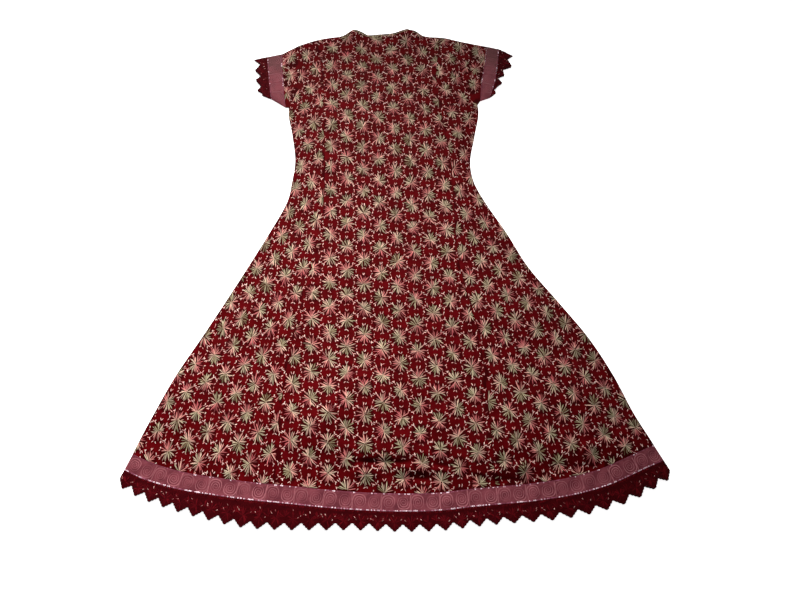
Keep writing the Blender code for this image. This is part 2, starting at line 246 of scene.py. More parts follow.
# %% Creases finer than the folds
CREASES = (
    (-0.072, 0.098, 0.030, 0.096, -0.0040, 0.0044),
    (0.040, 0.095, 0.088, 0.090, -0.0040, 0.0044),
    (-0.014, 0.077, 0.062, 0.073, -0.0032, 0.0052),
    (0.088, 0.081, 0.138, 0.070, -0.0036, 0.0046),
    (0.128, 0.073, 0.200, 0.067, -0.0028, 0.0048),
    (0.205, 0.088, 0.292, 0.092, -0.0028, 0.0050),
    (0.030, 0.885, 0.034, 0.640, 0.0036, 0.0120),
    (0.088, 0.865, 0.104, 0.690, 0.0022, 0.0240),
    (-0.082, 0.885, -0.080, 0.760, 0.0018, 0.0080),
    (-0.036, 0.882, -0.034, 0.770, 0.0018, 0.0085),
    (0.160, 0.450, 0.270, 0.215, 0.0034, 0.0200),
    (-0.166, 0.522, -0.106, 0.452, -0.0022, 0.0070),
    (0.080, 0.800, 0.072, 0.660, 0.0013, 0.0060),
    (0.110, 0.780, 0.112, 0.620, 0.0014, 0.0060),
    (0.055, 0.740, 0.050, 0.600, 0.0009, 0.0070),
    (0.128, 0.700, 0.112, 0.610, -0.0010, 0.0050),
    (-0.172, 0.752, -0.135, 0.700, -0.0013, 0.0050),
    (-0.165, 0.735, -0.128, 0.665, 0.0010, 0.0050),
    (-0.090, 0.800, -0.095, 0.700, 0.0009, 0.0080),
    (-0.060, 0.700, -0.048, 0.600, 0.0008, 0.0080),
    (0.000, 0.780, 0.004, 0.660, 0.0007, 0.0100),
    (-0.150, 0.600, -0.100, 0.592, 0.0008, 0.0050),
    (0.050, 0.598, 0.112, 0.612, 0.0009, 0.0050),
    (-0.020, 0.560, 0.052, 0.552, 0.0007, 0.0060),
    (-0.200, 0.430, -0.236, 0.340, -0.0013, 0.0060),
    (-0.030, 0.380, -0.050, 0.200, 0.0008, 0.0100),
    (0.040, 0.330, 0.052, 0.160, 0.0009, 0.0110),
    (0.150, 0.280, 0.203, 0.120, -0.0011, 0.0100),
    (0.230, 0.300, 0.283, 0.170, 0.0012, 0.0100),
    (-0.120, 0.300, -0.152, 0.140, 0.0009, 0.0110),
    (-0.200, 0.220, -0.232, 0.120, -0.0010, 0.0100),
    (-0.300, 0.205, -0.325, 0.130, 0.0009, 0.0080),
    (-0.068, 0.094, -0.022, 0.097, -0.0011, 0.0040),
    (-0.004, 0.098, 0.090, 0.103, -0.0011, 0.0040),
    (0.118, 0.092, 0.215, 0.105, -0.0012, 0.0045),
    (0.220, 0.114, 0.310, 0.140, -0.0010, 0.0045),
)


# %% A smooth curve through one column of a table
def through(columns, rows, key, value):
    """One column of a table as a smooth function of another, through every row."""
    keys = np.array([row[columns.index(key)] for row in rows])
    values = np.array([row[columns.index(value)] for row in rows])
    last = len(keys) - 1
    before = np.maximum(np.arange(last + 1) - 1, 0)
    after = np.minimum(np.arange(last + 1) + 1, last)
    slopes = (values[after] - values[before]) / (keys[after] - keys[before])

    def at(place):
        place = np.clip(place, keys[0], keys[last])
        index = np.clip(np.searchsorted(keys, place, side="right") - 1, 0, last - 1)
        run = keys[index + 1] - keys[index]
        share = (place - keys[index]) / run
        bend_a = share * (1 - share) ** 2 * run * slopes[index]
        bend_b = share ** 2 * (share - 1) * run * slopes[index + 1]
        rise = share * share * (3 - 2 * share)
        return values[index] + (values[index + 1] - values[index]) * rise + bend_a + bend_b

    return at


left_edge = through(OUTLINE_COLUMNS, OUTLINE, "up", "left_edge")
left_seam = through(OUTLINE_COLUMNS, OUTLINE, "up", "left_seam")
right_seam = through(OUTLINE_COLUMNS, OUTLINE, "up", "right_seam")
right_edge = through(OUTLINE_COLUMNS, OUTLINE, "up", "right_edge")
top_line = through(TOP_COLUMNS, TOP, "across", "up")
hem_line = through(HEM_COLUMNS, HEM, "across", "up")
lace_reach = through(HEM_COLUMNS, HEM, "across", "lace_reach")
PANEL_SIDES = {
    "left": (left_edge, left_seam),
    "centre": (left_seam, right_seam),
    "right": (right_seam, right_edge),
}
print("chest", round(float(right_edge(0.70) - left_edge(0.70)), 3), "m laid flat")


# %% [markdown]
# How high the cloth lies.
#
# The back lies on the table and the front lies on the back. Between its edges the front stands a
# little full, it stands up where the shoulder seams meet the neckline, and it carries the folds
# and creases of the tables. One function adds all of that up, so that cloth, ribbon and lace
# agree wherever they meet.

# %% Height of the front's underside
def ease(share):
    """Smooth step from 0 to 1."""
    share = np.clip(share, 0.0, 1.0)
    return share * share * (3 - 2 * share)


def rounded(distance, radius):
    """0 on an edge, rising along a quarter circle to 1 at the radius."""
    left = 1 - np.clip(distance / radius, 0.0, 1.0)
    return np.sqrt(1 - left ** 2)


def neck_rise(across, up):
    """How far both layers stand up round the two neck points."""
    rise = np.zeros(np.shape(across))
    for point_across, point_up in NECK_POINTS:
        away = np.hypot(across - point_across, up - point_up)
        rise = rise + NECK_RISE * np.exp(-((away / NECK_SPREAD) ** 2))
    return rise


END_FADE = 0.3


def ridges(table, across, up):
    """Height of a table's crests: each fades at its ends and falls away on both sides.

    Where a row ends in two widths, the first is that of the right side and the second the left's.
    """
    rise = np.zeros(np.shape(across))
    for across_a, up_a, across_b, up_b, height, *widths in table:
        run = (across_b - across_a, up_b - up_a)
        length = math.hypot(*run)
        along = ((across - across_a) * run[0] + (up - up_a) * run[1]) / length
        aside = ((across - across_a) * run[1] - (up - up_a) * run[0]) / length
        fade = ease(along / (END_FADE * length)) * ease((length - along) / (END_FADE * length))
        width = np.where(aside > 0, widths[0], widths[-1])
        rise = rise + height * fade * np.exp(-((aside / width) ** 2))
    return rise


def edge_distance(across, up):
    """How far in from the nearer side edge a place lies."""
    return np.minimum(across - left_edge(up), right_edge(up) - across)


HEM_FULLNESS = 0.35
HEM_FULLNESS_FROM = 0.05
HEM_FULLNESS_RUN = 0.12


def front_under(across, up):
    """Height of the front's underside above the table; it is less full near the hem."""
    inside = edge_distance(across, up)
    above_hem = ease((up - HEM_FULLNESS_FROM) / HEM_FULLNESS_RUN)
    low = HEM_FULLNESS + (1 - HEM_FULLNESS) * above_hem
    fullness = FULLNESS * ease(inside / FULLNESS_RUN) * low
    folded = sum(ridges(table, across, up) for table in (FOLDS, CREASES, SLUMPS))
    folded = folded * ease(inside / EDGE_RUN)
    return FRONT_BED + neck_rise(across, up) + np.maximum(fullness + folded, 0.0)


BACK_SOFTNESS = 0.30


def back_under(across, up):
    """Height of the back's underside: nearly flat, with the creases mirrored and pressed low."""
    inside = edge_distance(across, up)
    pressed = np.maximum(ridges(FOLDS, -across, up) + ridges(CREASES, -across, up), 0.0)
    return BACK_BED + neck_rise(across, up) + BACK_SOFTNESS * pressed * ease(inside / EDGE_RUN)


# %% [markdown]
# Camera, table and light.
#
# The dress was looked at from its hem end and from well above, so the skirt looks wider and the
# bodice smaller than they are. The camera's height and tilt came from the stars: they stand in
# even rows in the cloth, so the way their spacing shrinks gives the angle.
#
# One soft lamp stands beyond the neck end and is aimed at the left of the skirt. Its light leaves
# in a narrow cone, so it falls off towards the shoulders and the lower right, as in the photo, and
# it catches the far side of every crease. A faint room fills the shadows. The table top glows by
# itself, and the room is white where we look straight at it, which is how a picture cut out on
# white looks.

# %% Camera
CAMERA_PLACE = (0.0022, -0.6417, 1.178)
CAMERA_TILT = math.radians(25.15)
CAMERA_LENS = 38
CAMERA_SENSOR = 36

camera_data = bpy.data.cameras.new("camera")
camera_data.lens = CAMERA_LENS
camera_data.sensor_width = CAMERA_SENSOR
camera = bpy.data.objects.new("camera", camera_data)
camera.location = CAMERA_PLACE
camera.rotation_euler = (CAMERA_TILT, 0, 0)
bpy.context.scene.collection.objects.link(camera)
bpy.context.scene.camera = camera
bpy.context.scene.view_settings.view_transform = "Standard"

# %% A square soft lamp whose light spreads as a cone
LAMP_PLACE = (-0.15, 1.65, 1.80)
LAMP_AIM = (-0.25, -0.27, 0.0)
LAMP_SIZE = 0.5
LAMP_POWER = 6.3
LAMP_SPREAD = math.radians(36.5)
LAMP_COLOUR = (1.0, 0.98, 0.95)

lamp_data = bpy.data.lights.new("key lamp", "AREA")
lamp_data.size = LAMP_SIZE
lamp_data.energy = LAMP_POWER
lamp_data.color = LAMP_COLOUR
lamp_data.spread = LAMP_SPREAD
lamp = bpy.data.objects.new("key lamp", lamp_data)
lamp.location = LAMP_PLACE
towards = Vector(LAMP_AIM) - lamp.location
lamp.rotation_euler = towards.to_track_quat("-Z", "Y").to_euler()
bpy.context.scene.collection.objects.link(lamp)

# %% The room: faint where it lights the dress, white where the camera looks at it
ROOM_COLOUR = (0.93, 0.95, 1.0, 1.0)
ROOM_STRENGTH = 0.15

room = bpy.data.worlds.new("room")
room.use_nodes = True
room_nodes, room_links = room.node_tree.nodes, room.node_tree.links
faint = room_nodes["Background"]
faint.inputs["Color"].default_value = ROOM_COLOUR
faint.inputs["Strength"].default_value = ROOM_STRENGTH
paper = room_nodes.new("ShaderNodeBackground")
paper.inputs["Color"].default_value = (1.0, 1.0, 1.0, 1.0)
seen = room_nodes.new("ShaderNodeLightPath")
either = room_nodes.new("ShaderNodeMixShader")
room_links.new(seen.outputs["Is Camera Ray"], either.inputs[0])
room_links.new(faint.outputs[0], either.inputs[1])
room_links.new(paper.outputs[0], either.inputs[2])
room_links.new(either.outputs[0], room_nodes["World Output"].inputs["Surface"])
bpy.context.scene.world = room


# %% [markdown]
# Finishes.
#
# Each finish is a node material. Colours are noted as they would be read off a colour chart, in
# 0 to 255, and turned into the linear values that Blender works in. Two effects are used by more
# than one finish, so each is a node group: the weave of a cloth, and the uneven colour of thread
# that was dyed and has seen wear.

# %% Helpers for colours and nodes
def srgb(red, green, blue):
    """Linear colour of a chart colour given in 0 to 255."""
    values = []
    for part in (red, green, blue):
        share = part / 255
        values.append(share / 12.92 if share <= 0.04045 else ((share + 0.055) / 1.055) ** 2.4)
    return (*values, 1.0)


class Board:
    """A node tree with short ways to add a node and join it to others."""

    def __init__(self, tree):
        self.tree = tree

    def put(self, kind, given=None, **settings):
        """Add a node, apply its settings, and set or join its inputs."""
        node = self.tree.nodes.new(kind)
        for name, value in settings.items():
            setattr(node, name, value)
        for key, value in (given or {}).items():
            self.feed(node.inputs[key], value)
        return node

    def feed(self, socket, value):
        if isinstance(value, bpy.types.NodeSocket):
            self.tree.links.new(value, socket)
        else:
            socket.default_value = value

    def sums(self, operation, *values):
        """One of the Math node's operations."""
        given = dict(enumerate(values))
        return self.put("ShaderNodeMath", given, operation=operation).outputs[0]

    def mix(self, share, first, second, blend="MIX"):
        """Two colours mixed."""
        node = self.put("ShaderNodeMix", data_type="RGBA", blend_type=blend)
        self.feed(node.inputs[0], share)
        self.feed(node.inputs[6], first)
        self.feed(node.inputs[7], second)
        return node.outputs[2]

    def between(self, value, low, high, first=0.0, last=1.0):
        """A value eased from one range to another."""
        given = {"Value": value, "From Min": low, "From Max": high, "To Min": first,
                 "To Max": last}
        return self.put("ShaderNodeMapRange", given, interpolation_type="SMOOTHSTEP").outputs[0]

    def ramp(self, value, stops):
        """A colour for each share of the way: stops are (share, colour)."""
        node = self.put("ShaderNodeValToRGB", {"Fac": value})
        elements = node.color_ramp.elements
        for element, (place, colour) in zip(elements, (stops[0], stops[-1])):
            element.position = place
            element.color = colour
        for place, colour in stops[1:-1]:
            elements.new(place).color = colour
        return node.outputs[0]

    def noise(self, vector, scale, detail=2.0, roughness=0.5):
        given = {"Vector": vector, "Scale": scale, "Detail": detail, "Roughness": roughness}
        return self.put("ShaderNodeTexNoise", given).outputs[0]

    def split(self, vector):
        """The three numbers of a vector."""
        return self.put("ShaderNodeSeparateXYZ", {0: vector}).outputs

    def joined(self, x=0.0, y=0.0, z=0.0):
        """Three numbers as one vector."""
        return self.put("ShaderNodeCombineXYZ", {0: x, 1: y, 2: z}).outputs[0]

    def lit(self, colour, light):
        """A colour made lighter or darker by a number."""
        return self.mix(1.0, colour, self.joined(light, light, light), "MULTIPLY")

    def own(self, name, **groups):
        """One of the groups that are built below."""
        return self.put("ShaderNodeGroup", groups, node_tree=bpy.data.node_groups[name])

    def dye(self, place, blotch, speckle):
        """The tone of unevenly dyed cloth or thread."""
        group = self.own("uneven dye", Place=place, Blotch=blotch, Speckle=speckle)
        return group.outputs["Tone"]


def new_group(name, inputs, outputs):
    """An empty shader group with named sockets, its board and its two ends."""
    tree = bpy.data.node_groups.new(name, "ShaderNodeTree")
    for label, kind, value in inputs:
        socket = tree.interface.new_socket(label, in_out="INPUT", socket_type=kind)
        if value is not None:
            socket.default_value = value
    for label, kind in outputs:
        tree.interface.new_socket(label, in_out="OUTPUT", socket_type=kind)
    board = Board(tree)
    return board, board.put("NodeGroupInput"), board.put("NodeGroupOutput")


def new_finish(name):
    """A material, the board of its nodes, and its shader."""
    material = bpy.data.materials.new(name)
    material.use_nodes = True
    board = Board(material.node_tree)
    return material, board, material.node_tree.nodes["Principled BSDF"]


def shine(shader, level, tint):
    """How much a finish shines, and the colour of that shine."""
    shader.inputs["Specular IOR Level"].default_value = level
    shader.inputs["Specular Tint"].default_value = tint


def relief(board, shader, height, strength, distance):
    """A fine relief that is too small for the mesh."""
    given = {"Strength": strength, "Distance": distance, "Height": height}
    board.feed(shader.inputs["Normal"], board.put("ShaderNodeBump", given).outputs[0])


# %% Group: a plain weave, threads over and under in turn
board, start, end = new_group(
    "plain weave",
    (("Place", "NodeSocketVector", None), ("Thread", "NodeSocketFloat", 0.0005)),
    (("Height", "NodeSocketFloat"), ("Gap", "NodeSocketFloat")),
)
place = board.split(start.outputs["Place"])
turns = board.sums("DIVIDE", math.pi, start.outputs["Thread"])
wave_x = board.sums("SINE", board.sums("MULTIPLY", place[0], turns))
wave_y = board.sums("SINE", board.sums("MULTIPLY", place[1], turns))
over = board.sums("MULTIPLY", wave_x, wave_y)
height = board.sums("ADD", board.sums("MULTIPLY", over, 0.5), 0.5)
gap = board.sums("MULTIPLY", board.sums("ABSOLUTE", wave_x), board.sums("ABSOLUTE", wave_y))
board.feed(end.inputs["Height"], height)
board.feed(end.inputs["Gap"], gap)

# %% Group: uneven dye and wear, a slow mottling and a fine speckle
board, start, end = new_group(
    "uneven dye",
    (("Place", "NodeSocketVector", None), ("Blotch", "NodeSocketFloat", 18.0),
     ("Speckle", "NodeSocketFloat", 900.0)),
    (("Tone", "NodeSocketFloat"),),
)
slow = board.noise(start.outputs["Place"], start.outputs["Blotch"], 3.0, 0.55)
fine = board.noise(start.outputs["Place"], start.outputs["Speckle"], 1.0, 0.6)
both = board.sums("ADD", board.sums("MULTIPLY", slow, 0.7), board.sums("MULTIPLY", fine, 0.3))
board.feed(end.inputs["Tone"], both)

# %% [markdown]
# The crimson cloth.
#
# Its pattern space is the star's own: one unit across is one column of stars and one unit along
# is one row. Round each star the dense stitching draws the cloth down and shades it, and that
# shade is painted into the colour: the ground is painted nearly black there and is clear crimson
# in the open cells between.

# %% Finish: crimson cotton with the painted shade of the stars
COLUMN_STEP = 0.0535
ROW_STEP = 0.0429
STAR_HALF_WIDTH = 0.0136
STAR_HALF_HEIGHT = 0.0162

crimson_cloth, board, shader = new_finish("crimson cotton")
rows_of_stars = board.put("ShaderNodeUVMap", uv_map="Cloth").outputs[0]
metres = board.put("ShaderNodeVectorMath", {0: rows_of_stars, 1: (COLUMN_STEP, ROW_STEP, 0)},
                   operation="MULTIPLY").outputs[0]
part = board.split(rows_of_stars)


def star_radius(shift):
    """Distance to the nearest star of one of the two sets of rows, 1 on the star's outline."""
    lengths = []
    for axis, step, half in ((0, COLUMN_STEP, STAR_HALF_WIDTH), (1, ROW_STEP, STAR_HALF_HEIGHT)):
        moved = board.sums("ADD", part[axis], 0.5 + shift)
        away = board.sums("SUBTRACT", board.sums("FRACT", moved), 0.5)
        lengths.append(board.sums("POWER", board.sums("MULTIPLY", away, step / half), 2.0))
    return board.sums("SQRT", board.sums("ADD", *lengths))


radius = board.sums("MINIMUM", star_radius(0.0), star_radius(0.5))
wobble = board.noise(metres, 260.0, 2.0)
radius = board.sums("ADD", radius, board.sums("MULTIPLY", wobble, 0.30))
# Painted shade: round each star the ground is painted nearly black, as the shade of its stitching
clear_of_star_shade = board.between(radius, 0.98, 1.30)
dye = board.dye(metres, 30.0, 1400.0)
clear = board.mix(board.between(dye, 0.35, 0.65), srgb(68, 2, 4), srgb(93, 4, 9))
ground = board.mix(clear_of_star_shade, srgb(46, 1, 2), clear)
weave = board.own("plain weave", Place=metres, Thread=0.00055)
holes = board.sums("MULTIPLY", board.sums("SUBTRACT", 1.0, weave.outputs["Gap"]), 0.25)
ground = board.mix(holes, ground, srgb(50, 1, 4))
board.feed(shader.inputs["Base Color"], ground)
board.feed(shader.inputs["Roughness"], board.between(weave.outputs["Height"], 0, 1, 0.82, 0.66))
shader.inputs["Sheen Weight"].default_value = 0.05
shader.inputs["Sheen Roughness"].default_value = 0.45
shader.inputs["Sheen Tint"].default_value = srgb(200, 10, 30)
shine(shader, 0.12, srgb(230, 60, 70))
relief(board, shader, weave.outputs["Height"], 0.5, 0.00025)

# %% [markdown]
# The embroidery thread.
#
# The thread was dyed in lengths of olive, sage, cream, salmon and rose, so one star runs from
# green to pink. Each stitch carries two numbers of its own: tone, its place on that run of
# colours, and shade, how light it is. The map called Thread runs along the stitch and across it,
# and the fine lines across it are the strands that lie side by side.

# %% Finish: variegated embroidery thread
THREAD_COLOURS = (
    (0.00, srgb(114, 86, 60)),
    (0.12, srgb(150, 142, 108)),
    (0.24, srgb(189, 178, 148)),
    (0.36, srgb(230, 194, 172)),
    (0.48, srgb(220, 152, 142)),
    (0.60, srgb(202, 106, 108)),
    (0.72, srgb(174, 72, 80)),
    (0.84, srgb(226, 146, 142)),
    (1.00, srgb(255, 224, 214)),
)
STRANDS = 4


def thread_numbers(board):
    """A stitch's tone and shade, and the places along its thread and across it."""
    tone = board.put("ShaderNodeAttribute", attribute_name="tone").outputs["Fac"]
    shade = board.put("ShaderNodeAttribute", attribute_name="shade").outputs["Fac"]
    part = board.split(board.put("ShaderNodeUVMap", uv_map="Thread").outputs[0])
    return tone, shade, part[0], part[1]


star_thread, board, shader = new_finish("variegated thread")
tone, shade, along, across = thread_numbers(board)
object_place = board.put("ShaderNodeTexCoord").outputs["Object"]
drift = board.sums("MULTIPLY", board.sums("SUBTRACT", along, 1.0), 0.17)
colour = board.ramp(board.sums("ADD", tone, drift), THREAD_COLOURS)
near_centre = board.sums("POWER", board.sums("SUBTRACT", 1.0, along), 3.0)
colour = board.mix(board.sums("MULTIPLY", near_centre, 0.25), colour, srgb(206, 190, 160))
aside = board.sums("ABSOLUTE", board.sums("SUBTRACT", across, 0.5))
strand = board.sums("SINE", board.sums("MULTIPLY", across, 2 * math.pi * STRANDS))
dye = board.dye(object_place, 240.0, 2600.0)
light = board.sums("MULTIPLY", shade, board.between(dye, 0.3, 0.7, 0.82, 1.12))
light = board.sums("MULTIPLY", light, board.between(strand, -1, 1, 0.88, 1.06))
colour = board.lit(colour, light)
# Painted shade: both flanks of every stitch are painted near black, as the shade beside the raised
# thread
colour = board.mix(board.between(aside, 0.25, 0.37), colour, srgb(44, 1, 3))
board.feed(shader.inputs["Base Color"], colour)
board.feed(shader.inputs["Roughness"], board.between(strand, -1, 1, 0.58, 0.42))
shine(shader, 0.25, srgb(240, 180, 160))
relief(board, shader, strand, 0.6, 0.00012)


# %% [markdown]
# Ribbon, scrolls, cord and lace, with painted glints.
#
# The ribbon is a rose satin with a running scroll woven in a lighter yarn, and a thin cord lies on
# both its edges, with glints painted on some of its beads. The lace is made of thick dark red
# thread on a net of the same, with a few glints painted on its loops.

# %% Finishes: rose ribbon, its scrolls and the glittering cord
def satin(name, first, second, roughness, rib, shoulder_shade=None):
    """A satin of two close colours, with fine ribs across its length.

    Where a third colour is given, the ribbon's first few centimetres are painted with it, as
    painted shade where a sleeve's ribbon turns over the shoulder fold.
    """
    material, board, shader = new_finish(name)
    place = board.put("ShaderNodeUVMap", uv_map="Cloth").outputs[0]
    dye = board.dye(place, 70.0, 1600.0)
    colour = board.mix(board.between(dye, 0.36, 0.64), first, second)
    along = board.split(place)[0]
    # Painted shade: a darker brown over the first few centimetres, where a sleeve's ribbon turns
    # over the shoulder fold
    if shoulder_shade:
        patches = board.sums("ADD", along, board.sums("MULTIPLY", dye, 0.06))
        colour = board.mix(board.between(patches, 0.045, 0.095), shoulder_shade, colour)
    ribs = board.sums("SINE", board.sums("MULTIPLY", along, 2 * math.pi / rib))
    weave = board.own("plain weave", Place=place, Thread=rib * 0.6).outputs["Height"]
    colour = board.mix(board.between(ribs, -1, 1, 0.0, 0.16), colour, first)
    board.feed(shader.inputs["Base Color"], colour)
    board.feed(shader.inputs["Roughness"], board.between(weave, 0, 1, roughness, roughness + 0.14))
    shader.inputs["Sheen Weight"].default_value = 0.08
    shader.inputs["Sheen Tint"].default_value = srgb(230, 150, 180)
    shine(shader, 0.3, srgb(245, 150, 170))
    height = board.sums("ADD", weave, board.sums("MULTIPLY", ribs, 0.4))
    relief(board, shader, height, 0.4, 0.0001)
    return material


def cord_finish(name, colours, roughness):
    """A twisted thread whose tone runs through these colours."""
    material, board, shader = new_finish(name)
    tone, shade, along, across = thread_numbers(board)
    place = board.put("ShaderNodeTexCoord").outputs["Object"]
    dye = board.dye(place, 260.0, 2400.0)
    light = board.sums("MULTIPLY", shade, board.between(dye, 0.3, 0.7, 0.78, 1.15))
    board.feed(shader.inputs["Base Color"], board.lit(board.ramp(tone, colours), light))
    shine(shader, 0.2, colours[1][1])
    twist = board.sums("ADD", board.sums("MULTIPLY", along, 9.0),
                       board.sums("MULTIPLY", across, 3.0))
    strand = board.sums("SINE", board.sums("MULTIPLY", twist, 2 * math.pi))
    board.feed(shader.inputs["Roughness"],
               board.between(strand, -1, 1, roughness, roughness + 0.12))
    relief(board, shader, strand, 0.5, 0.0001)
    return material


RIB = 0.0007
YARN_COLOURS = ((0.0, srgb(132, 73, 80)), (1.0, srgb(160, 96, 103)))
# The last stop, near white, is the painted glint on the cord's beads
CORD_AND_GLINT_COLOURS = ((0.0, srgb(104, 40, 54)), (0.5, srgb(170, 98, 122)), (1.0, srgb(255, 226, 238)))
# The two palest stops serve only the painted glints on the lace's loops
LACE_COLOURS = (
    (0.00, srgb(46, 3, 7)),
    (0.72, srgb(98, 13, 21)),
    (0.82, srgb(150, 82, 82)),
    (1.00, srgb(226, 176, 168)),
)

rose_ribbon = satin("rose satin", srgb(86, 34, 42), srgb(124, 61, 69), 0.42, RIB)
# The sleeves' ribbon is painted darker brown near the shoulder fold: painted shade of that fold
sleeve_ribbon = satin("rose satin with painted shoulder shade", srgb(88, 36, 42), srgb(120, 54, 60), 0.46, RIB,
                      shoulder_shade=srgb(74, 44, 40))
scroll_yarn = cord_finish("scroll yarn", YARN_COLOURS, 0.40)
glint_painted_cord = cord_finish("cord with painted glints", CORD_AND_GLINT_COLOURS, 0.25)
lace_thread = cord_finish("lace thread", LACE_COLOURS, 0.60)


# %% Finish: the net under the lace thread
def net_finish(name, cell):
    """A close net: fine threads crossing, darker in the holes."""
    material, board, shader = new_finish(name)
    place = board.put("ShaderNodeUVMap", uv_map="Cloth").outputs[0]
    weave = board.own("plain weave", Place=place, Thread=cell)
    dye = board.dye(place, 90.0, 1500.0)
    colour = board.mix(board.between(dye, 0.35, 0.65), srgb(50, 3, 6), srgb(68, 6, 10))
    colour = board.mix(board.between(weave.outputs["Gap"], 0.1, 0.7, 0.5, 0.0), colour,
                       srgb(34, 1, 6))
    board.feed(shader.inputs["Base Color"], colour)
    board.feed(shader.inputs["Roughness"], board.between(dye, 0.3, 0.7, 0.62, 0.8))
    shine(shader, 0.15, srgb(230, 60, 70))
    relief(board, shader, weave.outputs["Gap"], 0.7, 0.0003)
    return material


lace_net = net_finish("lace net", 0.0011)
print("finishes:", ", ".join(sorted(material.name for material in bpy.data.materials)))


# %% Floor
TABLE_GLOW = 0.90


def floor_finish():
    """A matt white table top that is lit from inside, as used for cut-out pictures."""
    material, board, shader = new_finish("pale table")
    place = board.put("ShaderNodeTexCoord").outputs["Object"]
    dye = board.dye(place, 3.0, 200.0)
    colour = board.mix(dye, srgb(240, 240, 240), srgb(246, 246, 246))
    board.feed(shader.inputs["Base Color"], colour)
    shader.inputs["Roughness"].default_value = 0.9
    shader.inputs["Emission Color"].default_value = srgb(255, 255, 255)
    shader.inputs["Emission Strength"].default_value = TABLE_GLOW
    return material


FLOOR_HALF = 6.0
FLOOR_HEIGHT = -0.0002
corners = [(x * FLOOR_HALF, y * FLOOR_HALF, FLOOR_HEIGHT)
           for x, y in ((-1, -1), (1, -1), (1, 1), (-1, 1))]
floor_mesh = bpy.data.meshes.new("floor")
floor_mesh.from_pydata(corners, [], [(0, 1, 2, 3)])
floor_mesh.materials.append(floor_finish())
floor = bpy.data.objects.new("floor", floor_mesh)
bpy.context.scene.collection.objects.link(floor)
floor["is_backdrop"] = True


# %% [markdown]
# Making a piece of cloth.
#
# A piece is a thin wall: one sheet of points for its outer side, the same sheet again for its
# inner side, and a narrow rim that joins the two. Every piece keeps a map of its own cloth, so
# that the weave follows the piece and not the table.

# %% Turn points and faces into an object
SHARP_ANGLE = math.radians(50)


def add_piece(name, points, faces, material, cloth_map):
    """An object from points in pattern places, with a map of its cloth for the weave."""
    points = np.array(points, float)
    points[:, 0] -= ORIGIN_ACROSS
    points[:, 1] -= ORIGIN_UP
    mesh = bpy.data.meshes.new(name)
    mesh.from_pydata(points.tolist(), [], faces)
    layer = mesh.uv_layers.new(name="Cloth")
    corner = np.zeros(len(mesh.loops), np.int32)
    mesh.loops.foreach_get("vertex_index", corner)
    layer.data.foreach_set("uv", np.array(cloth_map, np.float32)[corner].ravel())
    mesh.shade_smooth()
    mesh.set_sharp_from_angle(angle=SHARP_ANGLE)
    mesh.materials.append(material)
    piece = bpy.data.objects.new(name, mesh)
    bpy.context.scene.collection.objects.link(piece)
    return piece


def grid_faces(rows, columns):
    """The four corners of each cell of a grid, as an array of rows and columns of cells."""
    corner = np.arange(rows * columns).reshape(rows, columns)
    return np.stack([corner[:-1, :-1], corner[1:, :-1], corner[1:, 1:], corner[:-1, 1:]], -1)


def wall(name, across, up, outer, inner, material, cloth_map, kept=None):
    """A wall over a grid of places: outer is its upper side's height and inner its lower's."""
    rows, columns = across.shape
    cells = grid_faces(rows, columns)
    cells = (cells[kept] if kept is not None else cells.reshape(-1, 4)).tolist()
    below = rows * columns
    edges = set()
    for cell in cells:
        edges.update(zip(cell, cell[1:] + cell[:1]))
    rim = [(end, start, start + below, end + below)
           for start, end in sorted(edges) if (end, start) not in edges]
    faces = cells + [[corner + below for corner in reversed(cell)] for cell in cells] + rim
    plan = np.stack([across.ravel(), up.ravel()], 1)
    points = np.concatenate([np.column_stack([plan, outer.ravel()]),
                             np.column_stack([plan, inner.ravel()])])
    used = np.unique(np.concatenate([np.ravel(face) for face in faces]))
    order = np.zeros(len(points), int)
    order[used] = np.arange(len(used))
    faces = [[int(order[corner]) for corner in face] for face in faces]
    both = np.concatenate([cloth_map, cloth_map])[used]
    return add_piece(name, points[used], faces, material, both)


# %% [markdown]
# The six long panels.
#
# Each panel runs from the shoulder to the ribbon between two curves of the outline table. Its
# rows follow the shoulder at the top and the hem at the bottom. At the side seams and shoulders
# front and back turn towards each other in a small round edge, as cloth does when a seam is
# turned to the inside, and along the long seams the front sinks into a fine groove. The front is
# also drawn down a little round each star, as close stitching does.

# %% Rows of stars in each panel: place of one star, step to the next column, step to the next row
LATTICES = {
    "centre": (-0.02529, 0.39793, 0.05334, -0.00369, -0.00104, 0.04284),
    "left": (-0.24629, 0.27477, 0.04546, -0.01586, 0.00862, 0.04424),
    "right": (0.21913, 0.25559, 0.04795, 0.01245, -0.00961, 0.04389),
}


def star_space(lattice, across, up):
    """Places measured in columns and rows of stars from one star of the lattice."""
    star_across, star_up, column_across, column_up, row_across, row_up = lattice
    across = across - star_across
    up = up - star_up
    size = column_across * row_up - column_up * row_across
    column = (across * row_up - up * row_across) / size
    row = (up * column_across - across * column_up) / size
    return column, row


# %% The panels' grids of places
NEAR_EDGE = (0.0, 0.002, 0.005, 0.010)
NEAR_TOP = (0.0, 0.0006, 0.0018, 0.0038, 0.0065)
SEAM_GROOVE = 0.0006
GROOVE_WIDTH = 0.0028
SIDE_ROUND = 0.0018
SHOULDER_ROUND = 0.0060
MIDDLE = 0.00135
TURNED_OUTER = 0.0004
TURNED_INNER = 0.00005
PUCKER = 0.00028
ROLL_HEIGHT = 0.0007
ROLL_WIDTH = 0.0030
ROLL_END = 0.012
SHOULDER_UP = 0.87
HEM_UP = 0.08
MEETING_STEPS = 6
ROW_SPREAD = ((0, 0.72, 1), (0.0115, 0.86, 1.0))


def meeting(line, edge_a, edge_b, share, start_up):
    """Height at which a column at a share of the panel's width meets a line across the dress."""
    up = np.full(np.shape(share), start_up)
    for _ in range(MEETING_STEPS):
        up = line(edge_a(up) + (edge_b(up) - edge_a(up)) * share)
    return up


def top_and_hem(side, share):
    """Heights of a panel's upper and lower end at columns that lie at a share of its width."""
    edge_a, edge_b = PANEL_SIDES[side]
    return (meeting(top_line, edge_a, edge_b, share, SHOULDER_UP),
            meeting(hem_line, edge_a, edge_b, share, HEM_UP))


